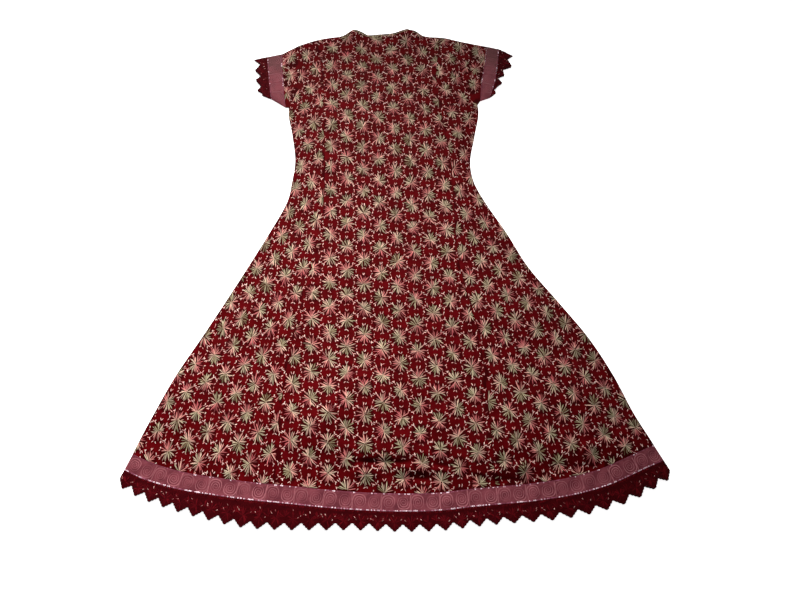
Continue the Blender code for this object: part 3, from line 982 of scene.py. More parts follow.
def panel_places(side, columns, rows):
    """The grid of one panel's places and how far down each row lies, closer near the hem."""
    edge_a, edge_b = PANEL_SIDES[side]
    shares = np.linspace(NEAR_EDGE[-1], 1 - NEAR_EDGE[-1], columns)
    shares = np.concatenate([NEAR_EDGE[:-1], shares, 1 - np.array(NEAR_EDGE[:-1])[::-1]])
    down = np.concatenate([NEAR_TOP, np.interp(np.linspace(0, 1, rows), *ROW_SPREAD)])
    top, hem = top_and_hem(side, shares)
    up = top + (hem - top) * down[:, None]
    across = edge_a(up) + (edge_b(up) - edge_a(up)) * shares
    return across, up, down


def inside_neck(across):
    """How far in from the nearer neck point a place lies; on the shoulders it is negative."""
    return np.minimum(across - NECK_POINTS[0][0], NECK_POINTS[1][0] - across)


def turned_edge(side, across, up, down):
    """1 inside a panel, falling to 0 along the edges where front and back are sewn together."""
    inside = np.ones(across.shape)
    edge = {"left": across - left_edge(up), "right": right_edge(up) - across}.get(side)
    if edge is not None:
        inside = np.where(down[:, None] > ARMHOLE_SHARE, rounded(edge, SIDE_ROUND), 1.0)
    below = top_line(across) - up + np.maximum(inside_neck(across), 0.0)
    return np.minimum(inside, rounded(below, SHOULDER_ROUND))


def seam_groove(across, up):
    """Depth of the groove along the front's long seams."""
    depth = np.zeros(across.shape)
    for seam in (left_seam, right_seam):
        depth = depth + SEAM_GROOVE * np.exp(-(((across - seam(up)) / GROOVE_WIDTH) ** 2))
    return depth


def brought_in(height, middle, gap, edge):
    """A layer's height, brought to a small gap from the middle along a turned edge."""
    return middle + gap + (height - middle - gap) * edge


def front_panel(side, columns, rows):
    """A front panel, drawn down a little round each star and rolled over along the neck."""
    across, up, down = panel_places(side, columns, rows)
    star_column, star_row = star_space(LATTICES[side], across, up)
    cloth_map = np.stack([star_column.ravel(), star_row.ravel()], 1)
    pucker = PUCKER * np.cos(2 * np.pi * star_column) * np.cos(2 * np.pi * star_row)
    edge = turned_edge(side, across, up, down)
    sunk = seam_groove(across, up)
    neck = rounded(inside_neck(across), ROLL_END)
    roll = ROLL_HEIGHT * neck * np.exp(-(((top_line(across) - up) / ROLL_WIDTH) ** 2))
    middle = MIDDLE + neck_rise(across, up)
    inner = front_under(across, up) + pucker * edge - sunk
    outer = inner + CLOTH + roll
    outer = brought_in(outer, middle, TURNED_OUTER, edge)
    inner = brought_in(inner, middle, TURNED_INNER, edge)
    return wall("front_" + side + "_cloth", across, up, outer, inner, crimson_cloth, cloth_map)


def back_panel(side, columns, rows):
    """A back panel; the centre one's middle column is split in two to leave the slit open."""
    across, up, down = panel_places(side, columns, rows)
    kept = None
    if side == "centre":
        middle_column = across.shape[1] // 2
        across = np.insert(across, middle_column, across[:, middle_column], axis=1)
        up = np.insert(up, middle_column, up[:, middle_column], axis=1)
        across[:, middle_column] -= SLIT_WIDTH / 2
        across[:, middle_column + 1] += SLIT_WIDTH / 2
        kept = np.ones((across.shape[0] - 1, across.shape[1] - 1), bool)
        middle_up = (up[:-1, middle_column] + up[1:, middle_column]) / 2
        kept[:, middle_column] = up[0, middle_column] - middle_up > SLIT_LENGTH
    star_column, star_row = star_space(LATTICES[side], across, up)
    cloth_map = np.stack([star_column.ravel(), star_row.ravel()], 1)
    edge = turned_edge(side, across, up, down)
    middle = MIDDLE + neck_rise(across, up)
    outer = back_under(across, up)
    inner = outer + CLOTH
    outer = brought_in(outer, middle, -TURNED_OUTER, edge)
    inner = brought_in(inner, middle, -TURNED_INNER, edge)
    return wall("back_" + side + "_cloth", across, up, inner, outer, crimson_cloth, cloth_map,
                kept)


# %% Cut the six panels
FRONT_GRID = {"left": (50, 220), "centre": (76, 220), "right": (50, 220)}
BACK_GRID = {"left": (28, 100), "centre": (39, 100), "right": (28, 100)}
cloth_pieces = {}
for side in ("left", "centre", "right"):
    cloth_pieces["front_" + side] = front_panel(side, *FRONT_GRID[side])
    cloth_pieces["back_" + side] = back_panel(side, *BACK_GRID[side])
for name, piece in cloth_pieces.items():
    print(name, len(piece.data.polygons), "faces")


# %% [markdown]
# Sleeves, ribbons and laces.
#
# These pieces go right round, so laid flat each is a tube pressed flat: a front layer, a back
# layer and a round fold at both ends. One function makes all of them from rings of places. Near
# the folds the places stand close together, which keeps the folds round.

# %% A flattened tube
FOLD_ROUND = 0.0014


def run_along(across, up):
    """Metres along each ring from its first place."""
    steps = np.hypot(np.diff(across, axis=1), np.diff(up, axis=1))
    return np.concatenate([np.zeros((len(across), 1)), np.cumsum(steps, axis=1)], axis=1)


def run_out(across, up):
    """Metres outwards from the first ring."""
    steps = np.hypot(np.diff(across, axis=0), np.diff(up, axis=0))
    return np.concatenate([np.zeros((1, across.shape[1])), np.cumsum(steps, axis=0)], axis=0)


def flat_tube(name, across, up, under, thickness, material, maps=None):
    """A tube of cloth pressed flat. Rows of the grids are rings and columns run between folds.

    under is the height of the front layer's underside. maps are the cloth's two numbers at each
    place, and are metres along the ring and outwards where none are given.
    """
    rings, count = across.shape
    run = run_along(across, up)
    map_along, map_out = maps or (run, run_out(across, up))
    distance = np.minimum(run, run[:, -1:] - run)
    curve = rounded(distance, FOLD_ROUND)
    to_middle = np.clip(1 - distance / FOLD_ROUND, 0, 1) * thickness
    ahead = np.where(run < run[:, -1:] / 2, 1, -1)
    first = np.stack([across[:, 1] - across[:, 0], up[:, 1] - up[:, 0]], 1)
    last = np.stack([across[:, -1] - across[:, -2], up[:, -1] - up[:, -2]], 1)
    first /= np.linalg.norm(first, axis=1)[:, None]
    last /= np.linalg.norm(last, axis=1)[:, None]
    way = np.where((ahead > 0)[:, :, None], first[:, None, :], -last[:, None, :])
    in_across = across + way[:, :, 0] * to_middle
    in_up = up + way[:, :, 1] * to_middle
    top = MIDDLE + (under + thickness - MIDDLE) * curve
    bottom = MIDDLE + (BACK_BED - MIDDLE) * curve
    in_top = MIDDLE + (under - MIDDLE) * curve
    in_bottom = MIDDLE + (BACK_BED + thickness - MIDDLE) * curve
    inner_part = slice(count - 2, 0, -1)

    def loop(front, back):
        return np.concatenate([front, back[:, inner_part]], axis=1)

    outer = np.stack([loop(across, across), loop(up, up), loop(top, bottom)], -1)
    inner = np.stack([loop(in_across, in_across), loop(in_up, in_up), loop(in_top, in_bottom)], -1)
    along = loop(map_along, 2 * map_along[:, -1:] - map_along)
    out = loop(map_out, map_out)
    size = outer.shape[1]
    points = np.concatenate([outer.reshape(-1, 3), inner.reshape(-1, 3)])
    shift = rings * size
    here = np.arange(rings * size).reshape(rings, size)
    after = np.roll(here, -1, axis=1)
    skin = np.stack([here[:-1], here[1:], after[1:], after[:-1]], -1).reshape(-1, 4)
    lining = skin[:, ::-1] + shift
    near_rim = np.stack([here[0], after[0], after[0] + shift, here[0] + shift], -1)
    far_rim = np.stack([after[-1], here[-1], here[-1] + shift, after[-1] + shift], -1)
    faces = np.concatenate([skin, lining, near_rim, far_rim])
    corners = points[faces]
    normal = np.cross(corners[:, 1] - corners[:, 0], corners[:, 2] - corners[:, 0])
    if float((corners[:, 0] * normal).sum()) < 0:
        faces = faces[:, ::-1]
    cloth_map = np.stack([along.ravel(), out.ravel()], 1)
    return add_piece(name, points, faces.tolist(), material,
                     np.concatenate([cloth_map, cloth_map]))


# %% [markdown]
# The hem.
#
# The skirt is cut in flared panels, so its lower edge is a curve and the ribbon and the lace fan
# out from one point above the neck. A place on the hem is named by its column: 10 columns in each
# side panel and 14 in the centre, with one lace point in the middle of each column.

# %% Places along the hem
def hem_edge(column):
    """Place on the cloth's lower edge at a column, counted from the left fold."""
    column = np.asarray(column, float)
    counts = (("left", 0, SIDE_COLUMNS), ("centre", SIDE_COLUMNS, CENTRE_COLUMNS),
              ("right", SIDE_COLUMNS + CENTRE_COLUMNS, SIDE_COLUMNS))
    across = np.zeros(column.shape)
    up = np.zeros(column.shape)
    for side, first, count in counts:
        edge_a, edge_b = PANEL_SIDES[side]
        here = (column >= first) & (column <= first + count)
        share = (column[here] - first) / count
        height = meeting(hem_line, edge_a, edge_b, share, HEM_UP)
        across[here] = edge_a(height) + (edge_b(height) - edge_a(height)) * share
        up[here] = height
    return across, up


def fanned(across, up, distance):
    """Places moved outwards from the flare's centre."""
    length = np.hypot(across - FLARE_ACROSS, up - FLARE_UP)
    share = distance / length
    return across + (across - FLARE_ACROSS) * share, up + (up - FLARE_UP) * share


def close_at_folds(step, total, nearest):
    """Marks from 0 to total, a step apart, with a few close ones at both ends."""
    count = max(int(round((total - 2 * nearest[-1]) / step)), 2)
    middle = np.linspace(nearest[-1], total - nearest[-1], count)
    return np.concatenate([nearest[:-1], middle, total - np.array(nearest[:-1])[::-1]])


NEAR_FOLD = (0.0, 0.012, 0.030, 0.060, 0.120)


# %% Hem ribbon
RIBBON_STEP = 0.18
RIBBON_ROWS = 9
RIBBON_PROUD = 0.00015

columns = close_at_folds(RIBBON_STEP, HEM_COLUMNS_IN_ALL, NEAR_FOLD)
edge_across, edge_up = hem_edge(columns)
distances = np.linspace(SEAM_GAP, RIBBON_WIDTH, RIBBON_ROWS)[:, None]
ribbon_across, ribbon_up = fanned(edge_across, edge_up, distances)
ribbon_under = front_under(edge_across, edge_up) + RIBBON_PROUD
hem_ribbon = flat_tube("hem_ribbon_band", ribbon_across, ribbon_up, ribbon_under, TRIM,
                       rose_ribbon)

# %% [markdown]
# The hem's lace.
#
# The lace's lower edge is a row of points, and each flank of a point steps down in small rounded
# picots. The depth at a place is worked out from how far it is from the middle of its point: part
# of it falls evenly and part of it in steps.

# %% Hem lace
LACE_STEP = 0.034
LACE_ROWS = 8
PICOTS = 3.5
PICOT_STEEPNESS = 2.6
PICOT_START = 1.5
EVEN_PART = 0.45
STEPPED_PART = 0.55


def lace_depth(from_middle, reach):
    """How far the lace hangs at a share of the way from a point's tip (0) to a notch (1)."""
    stair = from_middle * PICOTS
    within = ease((stair - np.floor(stair)) * PICOT_STEEPNESS - PICOT_START)
    stepped = (np.floor(stair) + within) / PICOTS
    share = EVEN_PART * from_middle + STEPPED_PART * np.minimum(stepped, 1.0)
    return reach - LACE_CUT * share


columns = close_at_folds(LACE_STEP, HEM_COLUMNS_IN_ALL, NEAR_FOLD)
edge_across, edge_up = hem_edge(columns)
from_tip = np.abs(2 * (columns - np.floor(columns)) - 1)
depth = lace_depth(from_tip, lace_reach(edge_across))
distances = np.linspace(0.0, 1.0, LACE_ROWS)[:, None] * depth + RIBBON_WIDTH + SEAM_GAP
lace_across, lace_up = fanned(edge_across, edge_up, distances)
lace_under = front_under(edge_across, edge_up)
hem_lace = flat_tube("hem_lace_net", lace_across, lace_up, lace_under, TRIM, lace_net)


# %% [markdown]
# The sleeves.
#
# A cap sleeve starts at the armhole, and its cloth is only a few centimetres long. The ribbon and
# the lace follow it, so all three share the lines of the sleeve tables.

# %% Lines across a sleeve, from the shoulder fold to the underarm
SLEEVE_STEP = 0.022
SLEEVE_LACE_STEP = 0.008
SLEEVE_NEAR = (0.0, 0.0025, 0.006, 0.012)
SLEEVE_CLOTH_ROWS = 9
SLEEVE_BAND_ROWS = 8
SLEEVE_LACE_ROWS = 7
SLEEVE_FLARE = 1.4
SEAM_TUCK = -0.004
BEFORE_SEAM = 0.996


def armhole(side, down):
    """Places on the armhole, from the shoulder (0) to the underarm (1)."""
    left = side == "left"
    top, hem = top_and_hem(side, np.full(np.shape(down), 0.0 if left else 1.0))
    up = top + (hem - top) * ARMHOLE_SHARE * down
    return (left_edge if left else right_edge)(up), up


def sleeve_line(side, name, down):
    """Places on one of the lines of a sleeve table: inner, outer or tip."""
    table = SLEEVES[side]
    return (through(SLEEVE_COLUMNS, table, "down", name + "_across")(down),
            through(SLEEVE_COLUMNS, table, "down", name + "_up")(down))


def rings_between(first, last, shares):
    """Rings part of the way from one line to another, a row for each share."""
    shares = np.asarray(shares, float)
    if shares.ndim == 1:
        shares = shares[:, None]
    return first[0] + (last[0] - first[0]) * shares, first[1] + (last[1] - first[1]) * shares


def sleeve_under(down):
    """Height of a sleeve's front underside, full between its two folds."""
    return FRONT_BED + SLEEVE_FULLNESS * np.sin(np.pi * down)


# %% Sleeve cloth, ribbon and lace
def make_sleeve(side):
    """The three pieces of a sleeve."""
    down = close_at_folds(SLEEVE_STEP, 1.0, SLEEVE_NEAR)
    under = sleeve_under(down)
    start = armhole(side, down)
    inner = sleeve_line(side, "inner", down)
    outer = sleeve_line(side, "outer", down)
    shares = np.linspace(SEAM_TUCK, BEFORE_SEAM, SLEEVE_CLOTH_ROWS)
    across, up = rings_between(start, inner, shares)
    rise = np.linspace(0, 1, SLEEVE_CLOTH_ROWS)[:, None]
    flared = FRONT_BED + (under - FRONT_BED) * ease(rise * SLEEVE_FLARE)
    cloth = flat_tube("sleeve_" + side + "_cloth", across, up, flared, CLOTH, crimson_cloth,
                      star_space(LATTICES[side], across, up))
    shares = np.linspace(0.0, BEFORE_SEAM, SLEEVE_BAND_ROWS)
    across, up = rings_between(inner, outer, shares)
    band = flat_tube("sleeve_ribbon_" + side + "_band", across, up, under + RIBBON_PROUD, TRIM,
                     sleeve_ribbon)
    down = close_at_folds(SLEEVE_LACE_STEP, 1.0, SLEEVE_NEAR)
    outer = sleeve_line(side, "outer", down)
    tip = sleeve_line(side, "tip", down)
    row = down * ARMHOLE_ROWS / 2
    from_tip = np.abs(2 * (row - np.floor(row + 0.5)))
    reach = np.hypot(tip[0] - outer[0], tip[1] - outer[1])
    share = lace_depth(from_tip, reach) / reach
    shares = np.linspace(0.0, 1.0, SLEEVE_LACE_ROWS)[:, None] * share
    across, up = rings_between(outer, tip, shares)
    lace = flat_tube("sleeve_lace_" + side + "_net", across, up, sleeve_under(down), TRIM,
                     lace_net)
    return cloth, band, lace


sleeve_pieces = {side: make_sleeve(side) for side in ("left", "right")}
for side, made in sleeve_pieces.items():
    print(side, "sleeve", [len(piece.data.polygons) for piece in made], "faces")


# %% [markdown]
# Stitches.
#
# Thousands of stitches lie on the dress, and they come in three shapes: a ray that starts narrow
# and widens before its tip, a grain that is pointed at both ends, and the woven scroll of the
# ribbon. Each is one small mesh of unit length with a raised ridge. They are kept out of the
# picture in a collection of their own, and a place asks for one of them by its number.

# %% The shapes of the stitches
RAY, GRAIN, SCROLL = 0, 1, 2
LAYERS = ((1, "front"), (-1, "back"))
EDGE_DIP = -0.12
TIP_DIP = -0.2
stitch_box = bpy.data.collections.new("stitch shapes")


def stitch_shape(name, stations, thread_from, thread_to):
    """A ridge along X: stations are (along, half width, height), pointed where the width is 0."""
    points = []
    rows = []
    threads = []
    first = stations[0][0]
    length = stations[-1][0] - first
    for along, half, height in stations:
        row = []
        profile = ((-half, EDGE_DIP, 0.0), (0.0, height, 0.5), (half, EDGE_DIP, 1.0))
        for side, lift, across in profile:
            row.append(len(points))
            points.append((along, side, lift if half else TIP_DIP))
            share = (along - first) / length
            threads.append((thread_from + (thread_to - thread_from) * share, across))
            if half == 0:
                break
        rows.append(row)
    faces = []
    for here, there in zip(rows, rows[1:]):
        for index in range(2):
            corners = [here[min(index, len(here) - 1)], there[min(index, len(there) - 1)],
                       there[min(index + 1, len(there) - 1)], here[min(index + 1, len(here) - 1)]]
            faces.append(tuple(dict.fromkeys(corners)))
    stitch_mesh(name, points, faces, threads)


def stitch_mesh(name, points, faces, threads):
    """A stitch's mesh with its map of the thread, put in the box of shapes."""
    mesh = bpy.data.meshes.new(name)
    mesh.from_pydata(points, [], faces)
    layer = mesh.uv_layers.new(name="Thread")
    for loop in mesh.loops:
        layer.data[loop.index].uv = threads[loop.vertex_index]
    mesh.shade_smooth()
    shape = bpy.data.objects.new(name, mesh)
    stitch_box.objects.link(shape)


stitch_shape("shape_0_ray", ((0.0, 0.14, 0.5), (0.36, 0.42, 0.9), (0.70, 0.46, 1.0), (1.0, 0, 0)),
             0.0, 1.0)
stitch_shape("shape_1_grain", ((-0.5, 0, 0), (-0.2, 0.5, 1.0), (0.24, 0.5, 1.0), (0.5, 0, 0)),
             1.0, 1.0)


# %% The scroll: a wave that curls into a spiral, then dips and starts the next one
SCROLL_TURNS = 3.1
SCROLL_WIDE = 0.475
SCROLL_TALL = 0.520
SCROLL_INNER = 0.08
SCROLL_POINTS = 64
SCROLL_HALF = 0.040
SCROLL_START = [(-0.52, -0.56), (-0.495, -0.38), (-0.485, -0.18)]
SCROLL_BOXY = 0.10
SCROLL_TAPER = (1.3, 0.7)
SCROLL_DIP = -0.35
SCROLL_TWISTS = 6


def scroll_line():
    """Places of one scroll, one unit long, from where it leaves the last one to its centre."""
    line = list(SCROLL_START)
    for step in range(SCROLL_POINTS):
        share = step / (SCROLL_POINTS - 1)
        angle = math.pi - share * SCROLL_TURNS * 2 * math.pi
        shrink = 1 + (SCROLL_INNER - 1) * share ** 0.9
        boxy = 1 + SCROLL_BOXY * (1 - share) * math.sin(2 * angle) ** 2
        line.append((SCROLL_WIDE * shrink * boxy * math.cos(angle),
                     SCROLL_TALL * shrink * boxy * math.sin(angle)))
    return np.array(line)


def scroll_weight(line):
    """How thick the scroll's line is: full where it starts and over the top, thin below."""
    start = np.exp(-np.arange(len(line)) / 8.0)
    return np.maximum(start, 0.62 + 0.38 * np.clip(line[:, 1] / 0.3, -1, 1))


def strip_along(name, line, half):
    """A raised strip that follows a line."""
    ahead = np.gradient(line, axis=0)
    ahead /= np.linalg.norm(ahead, axis=1)[:, None]
    aside = np.stack([-ahead[:, 1], ahead[:, 0]], 1)
    thin = half * (np.linspace(*SCROLL_TAPER, len(line)) * scroll_weight(line))[:, None]
    points, threads, faces = [], [], []
    for index, (place, over) in enumerate(zip(line, aside * thin)):
        share = index / (len(line) - 1)
        for times, lift, across in ((-1, SCROLL_DIP, 0.0), (0, 1.0, 0.5), (1, SCROLL_DIP, 1.0)):
            points.append((place[0] + over[0] * times, place[1] + over[1] * times, lift))
            threads.append((share * SCROLL_TWISTS, across))
    for index in range(len(line) - 1):
        here = 3 * index
        faces.append((here, here + 3, here + 4, here + 1))
        faces.append((here + 1, here + 4, here + 5, here + 2))
    stitch_mesh(name, points, faces, threads)


strip_along("shape_2_scroll", scroll_line(), SCROLL_HALF)


# %% [markdown]
# Sewing the stitches down.
#
# One Geometry Nodes tree does the sewing for the whole dress. It takes a cloud of places, each
# with its turn, length, width and height, and sets a shape on every place. The shapes are then
# made real and dropped on the cloth: a ray is cast down from every point, and where it misses,
# past a seam, the point goes to the nearest cloth instead, which cuts the star off at the seam.

# %% The sewing tree
RAY_FROM = 0.2
RAY_REACH = 0.5
NEAR_MIDDLE = 0.0015
NEAR_LIFT = 0.004


def sewing_tree():
    """The tree that sews stitches down, and its sockets' identifiers.

    Side is 1 for the side that faces up and -1 for the one that faces the table. It turns the ray,
    the stitch's relief and the place from which the nearest cloth is looked for.
    """
    tree = bpy.data.node_groups.new("sew down", "GeometryNodeTree")
    sockets = {}
    for label, kind in (("Places", "Geometry"), ("Shapes", "Collection"), ("Cloth", "Object"),
                        ("Side", "Float"), ("Thread", "Material")):
        made = tree.interface.new_socket(label, in_out="INPUT", socket_type="NodeSocket" + kind)
        sockets[label] = made.identifier
    tree.interface.new_socket("Stitches", in_out="OUTPUT", socket_type="NodeSocketGeometry")
    board = Board(tree)
    start = board.put("NodeGroupInput")

    def own(name, kind="FLOAT"):
        return board.put("GeometryNodeInputNamedAttribute", {"Name": name},
                         data_type=kind).outputs["Attribute"]

    shapes = board.put("GeometryNodeCollectionInfo",
                       {"Collection": start.outputs["Shapes"], "Separate Children": True,
                        "Reset Children": True}).outputs[0]
    turn = board.put("FunctionNodeEulerToRotation", {0: board.joined(z=own("turn"))}).outputs[0]
    size = board.joined(own("length"), own("width"), own("height"))
    given = {"Points": start.outputs["Places"], "Instance": shapes, "Pick Instance": True,
             "Instance Index": own("kind", "INT"), "Rotation": turn, "Scale": size}
    stitches = board.put("GeometryNodeInstanceOnPoints", given).outputs[0]
    stitches = board.put("GeometryNodeRealizeInstances", {0: stitches}).outputs[0]
    cloth = board.put("GeometryNodeObjectInfo", {"Object": start.outputs["Cloth"]})
    cloth = cloth.outputs["Geometry"]
    place = board.split(board.put("GeometryNodeInputPosition").outputs[0])
    side = start.outputs["Side"]
    above = board.joined(place[0], place[1], board.sums("MULTIPLY", side, RAY_FROM))
    down = board.joined(z=board.sums("MULTIPLY", side, -1.0))
    hit = board.put("GeometryNodeRaycast", {"Target Geometry": cloth, "Source Position": above,
                                            "Ray Direction": down, "Ray Length": RAY_REACH})
    near_height = board.sums("MULTIPLY_ADD", side, NEAR_LIFT, NEAR_MIDDLE)
    near = board.joined(place[0], place[1], near_height)
    edge = board.put("GeometryNodeProximity", {0: cloth, "Sample Position": near},
                     target_element="FACES")
    landed = board.put("GeometryNodeSwitch", {"Switch": hit.outputs["Is Hit"],
                                              "False": edge.outputs["Position"],
                                              "True": hit.outputs["Hit Position"]},
                       input_type="VECTOR").outputs[0]
    lift = board.joined(z=board.sums("MULTIPLY", place[2], side))
    sewn = board.put("GeometryNodeSetPosition", {"Geometry": stitches, "Position": landed,
                                                 "Offset": lift}).outputs[0]
    sewn = board.put("GeometryNodeSetMaterial", {"Geometry": sewn,
                                                 "Material": start.outputs["Thread"]}).outputs[0]
    board.feed(board.put("NodeGroupOutput").inputs["Stitches"], sewn)
    return tree, sockets


sew_down, sew_sockets = sewing_tree()
USED_UP = ("turn", "length", "width", "height")
PLACE_NUMBERS = USED_UP + ("tone", "shade")


def sew(name, places, cloth, side, material):
    """Sew stitches on a piece of cloth, and return them as one plain mesh.

    places is a table of arrays: across, up, kind and the numbers above. side is the tree's Side.
    """
    count = len(places["across"])
    mesh = bpy.data.meshes.new(name + "_places")
    mesh.vertices.add(count)
    spots = np.stack([places["across"] - ORIGIN_ACROSS, places["up"] - ORIGIN_UP,
                      np.zeros(count)], 1)
    mesh.vertices.foreach_set("co", spots.astype(np.float32).ravel())
    for label in PLACE_NUMBERS:
        numbers = mesh.attributes.new(label, "FLOAT", "POINT")
        numbers.data.foreach_set("value", places[label].astype(np.float32))
    kinds = mesh.attributes.new("kind", "INT", "POINT")
    kinds.data.foreach_set("value", places["kind"].astype(np.int32))
    cloud = bpy.data.objects.new(name + "_places", mesh)
    bpy.context.scene.collection.objects.link(cloud)
    sewing = cloud.modifiers.new("sew down", "NODES")
    sewing.node_group = sew_down
    sewing[sew_sockets["Shapes"]] = stitch_box
    sewing[sew_sockets["Cloth"]] = cloth
    sewing[sew_sockets["Side"]] = float(side)
    sewing[sew_sockets["Thread"]] = material
    depsgraph = bpy.context.evaluated_depsgraph_get()
    result = bpy.data.meshes.new_from_object(cloud.evaluated_get(depsgraph),
                                             preserve_all_data_layers=True, depsgraph=depsgraph)
    result.name = name
    for label in USED_UP + ("kind",):
        result.attributes.remove(result.attributes[label])
    if side < 0:
        result.flip_normals()
    bpy.data.objects.remove(cloud)
    stitches = bpy.data.objects.new(name, result)
    bpy.context.scene.collection.objects.link(stitches)
    print(name, count, "stitches,", len(result.polygons), "faces")
    return stitches


# %% [markdown]
# The star.
#
# A star has 22 rays, long and short in turn. Its thread changes colour as it is sewn, so one side
# of a star is green or cream and the other side salmon, and where that change falls is different
# for every star. Small grains fill the space between stars: a forked sprig on each diagonal, a
# peak and a valley in the bare cell above the star, and a dash on both sides of that cell. The
# chart gives the grains of one half in millimetres and degrees, and the other half mirrors it.

# %% Chart of the grains: across and up from the star's centre, turn, length, width and tone
HALF_CHART = (
    (8.8, 9.9, 52, 4.2, 1.9, 0.80),
    (10.0, 13.2, 86, 4.3, 2.4, 0.93),
    (11.9, 11.8, 14, 4.2, 2.3, 0.90),
    (8.8, -9.9, -52, 4.2, 1.9, 0.80),
    (10.0, -13.2, -86, 4.3, 2.4, 0.93),
    (11.9, -11.8, -14, 4.2, 2.3, 0.90),
    (14.6, 1.5, 62, 3.6, 2.5, 0.92),
    (14.8, -2.5, 118, 3.3, 2.1, 0.82),
    (1.5, 17.0, 66, 5.0, 2.2, 0.88),
    (1.9, -16.3, -46, 3.9, 2.2, 0.86),
)
GRAIN_CHART = HALF_CHART + tuple((-across, up, 180 - turn, length, width, tone)
                                 for across, up, turn, length, width, tone in HALF_CHART)
RAYS = 22
SHORT_RAY = 0.80
RAY_WIDTH = 0.0022
RAY_HEIGHT = 0.00042
RAY_SLIP = 0.06
ROOT_SHARE = 0.06
ROOT_SLIP = 0.0010
GRAIN_HEIGHT = 0.00050
GRAIN_SLIP = 0.0005
GRAIN_TURN_SLIP = 0.22
STAR_TILT = 0.07
STAR_SIZE = 1.05
STAR_SIZE_SLIP = 0.045
TONE_MIDDLE = 0.47
TONE_SLIP = 0.05
TONE_OF_SIDE = 0.21
SIDE_SLIP = 0.35
print(RAYS, "rays and", len(GRAIN_CHART), "grains in a star")


# %% Where the stars stand
def inside_panel(side, across, up, margin):
    """Whether places lie on a panel, at least a margin in from its edges."""
    edge_a, edge_b = PANEL_SIDES[side]
    between = (across > edge_a(up) + margin) & (across < edge_b(up) - margin)
    return between & (up > hem_line(across) + margin) & (up < top_line(across) - margin)


def star_centres(lattice, reach=17):
    """Every star's centre round the lattice's own star, in two interleaved sets of rows."""
    star_across, star_up, column_across, column_up, row_across, row_up = lattice
    centres = []
    for shift in (0.0, 0.5):
        for column in np.arange(-reach, reach + 1) + shift:
            for row in np.arange(-reach, reach + 1) + shift:
                centres.append((star_across + column * column_across + row * row_across,
                                star_up + column * column_up + row * row_up))
    return np.array(centres)


def add_stitches(table, **values):
    """Add a stitch, or several, to a table of places."""
    count = max(np.size(value) for value in values.values())
    for label, value in values.items():
        table.setdefault(label, []).append(np.broadcast_to(np.asarray(value, float), (count,)))


def gathered(table):
    """A table of places as plain arrays."""
    return {label: np.concatenate(parts) for label, parts in table.items()}


def chosen(places, keep):
    """The part of a table of places that is kept."""
    return {label: values[keep] for label, values in places.items()}


def star_places(centres, lattice, dice):
    """The stitches of the stars at these centres."""
    column_across, column_up, row_across, row_up = lattice[2:]
    column_step = math.hypot(column_across, column_up)
    row_step = math.hypot(row_across, row_up)
    sideways = np.array([column_across, column_up]) / column_step
    upwards = np.array([row_across, row_up]) / row_step
    wide = column_step / COLUMN_STEP
    tall = row_step / ROW_STEP
    table = {}
    for centre in centres:
        split = dice.uniform(0, 2 * np.pi)
        tilt = dice.normal(0, STAR_TILT)
        size = dice.normal(STAR_SIZE, STAR_SIZE_SLIP)
        lean = dice.normal(0, TONE_SLIP)
        spin = 2 * np.pi * np.arange(RAYS) / RAYS + tilt + dice.normal(0, RAY_SLIP, RAYS)
        spin = spin + dice.choice([0.0, np.pi / RAYS])
        reach = np.where(np.arange(RAYS) % 2 == 0, 1.0, SHORT_RAY)
        reach = reach * size * dice.normal(1.0, RAY_SLIP, RAYS)
        along = np.cos(spin) * STAR_HALF_WIDTH * wide * reach
        rise = np.sin(spin) * STAR_HALF_HEIGHT * tall * reach
        tips = along[:, None] * sideways + rise[:, None] * upwards
        roots = tips * ROOT_SHARE + dice.normal(0, ROOT_SLIP, (RAYS, 2))
        run = tips - roots
        side_share = np.cos(spin - split) + dice.normal(0, SIDE_SLIP, RAYS)
        tone = np.clip(TONE_MIDDLE + lean + TONE_OF_SIDE * side_share, 0.06, 0.76)
        add_stitches(table, across=centre[0] + roots[:, 0], up=centre[1] + roots[:, 1], kind=RAY,
                     turn=np.arctan2(run[:, 1], run[:, 0]), length=np.hypot(run[:, 0], run[:, 1]),
                     width=RAY_WIDTH * dice.uniform(0.8, 1.1, RAYS),
                     height=RAY_HEIGHT * dice.uniform(0.8, 1.2, RAYS), tone=tone,
                     shade=0.37 + 0.81 * dice.uniform(0, 1, RAYS) ** 0.9)
        chart = np.array(GRAIN_CHART)
        count = len(chart)
        shift = chart[:, 0:2] * MM * (wide, tall) + dice.normal(0, GRAIN_SLIP, (count, 2))
        spot = centre + shift[:, :1] * sideways + shift[:, 1:] * upwards
        base = math.atan2(sideways[1], sideways[0])
        add_stitches(table, across=spot[:, 0], up=spot[:, 1], kind=GRAIN,
                     turn=np.radians(chart[:, 2]) + base + dice.normal(0, GRAIN_TURN_SLIP, count),
                     length=chart[:, 3] * MM * dice.uniform(0.88, 1.3, count),
                     width=chart[:, 4] * MM * dice.uniform(0.54, 0.78, count),
                     height=GRAIN_HEIGHT * dice.uniform(0.8, 1.2, count),
                     tone=np.clip(chart[:, 5] + dice.normal(0.04, 0.05, count), 0.84, 1.0),
                     shade=dice.uniform(0.72, 1.25, count))
    return gathered(table)


def stitch_middle(places):
    """The middle of each stitch: a ray starts at its place and a grain is centred on it."""
    half = np.where(places["kind"] == RAY, places["length"] / 2, 0.0)
    return (places["across"] + half * np.cos(places["turn"]),
            places["up"] + half * np.sin(places["turn"]))


# %% Sew the stars on the panels, front and back
STITCH_MARGIN = 0.0006
STARS_PAST_PANEL = 0.024
NECK_STITCH_GAP = 0.0019
NECK_STITCH_DOWN = 0.0030
SLOPE_SPAN = 0.001
stitch_pieces = {}


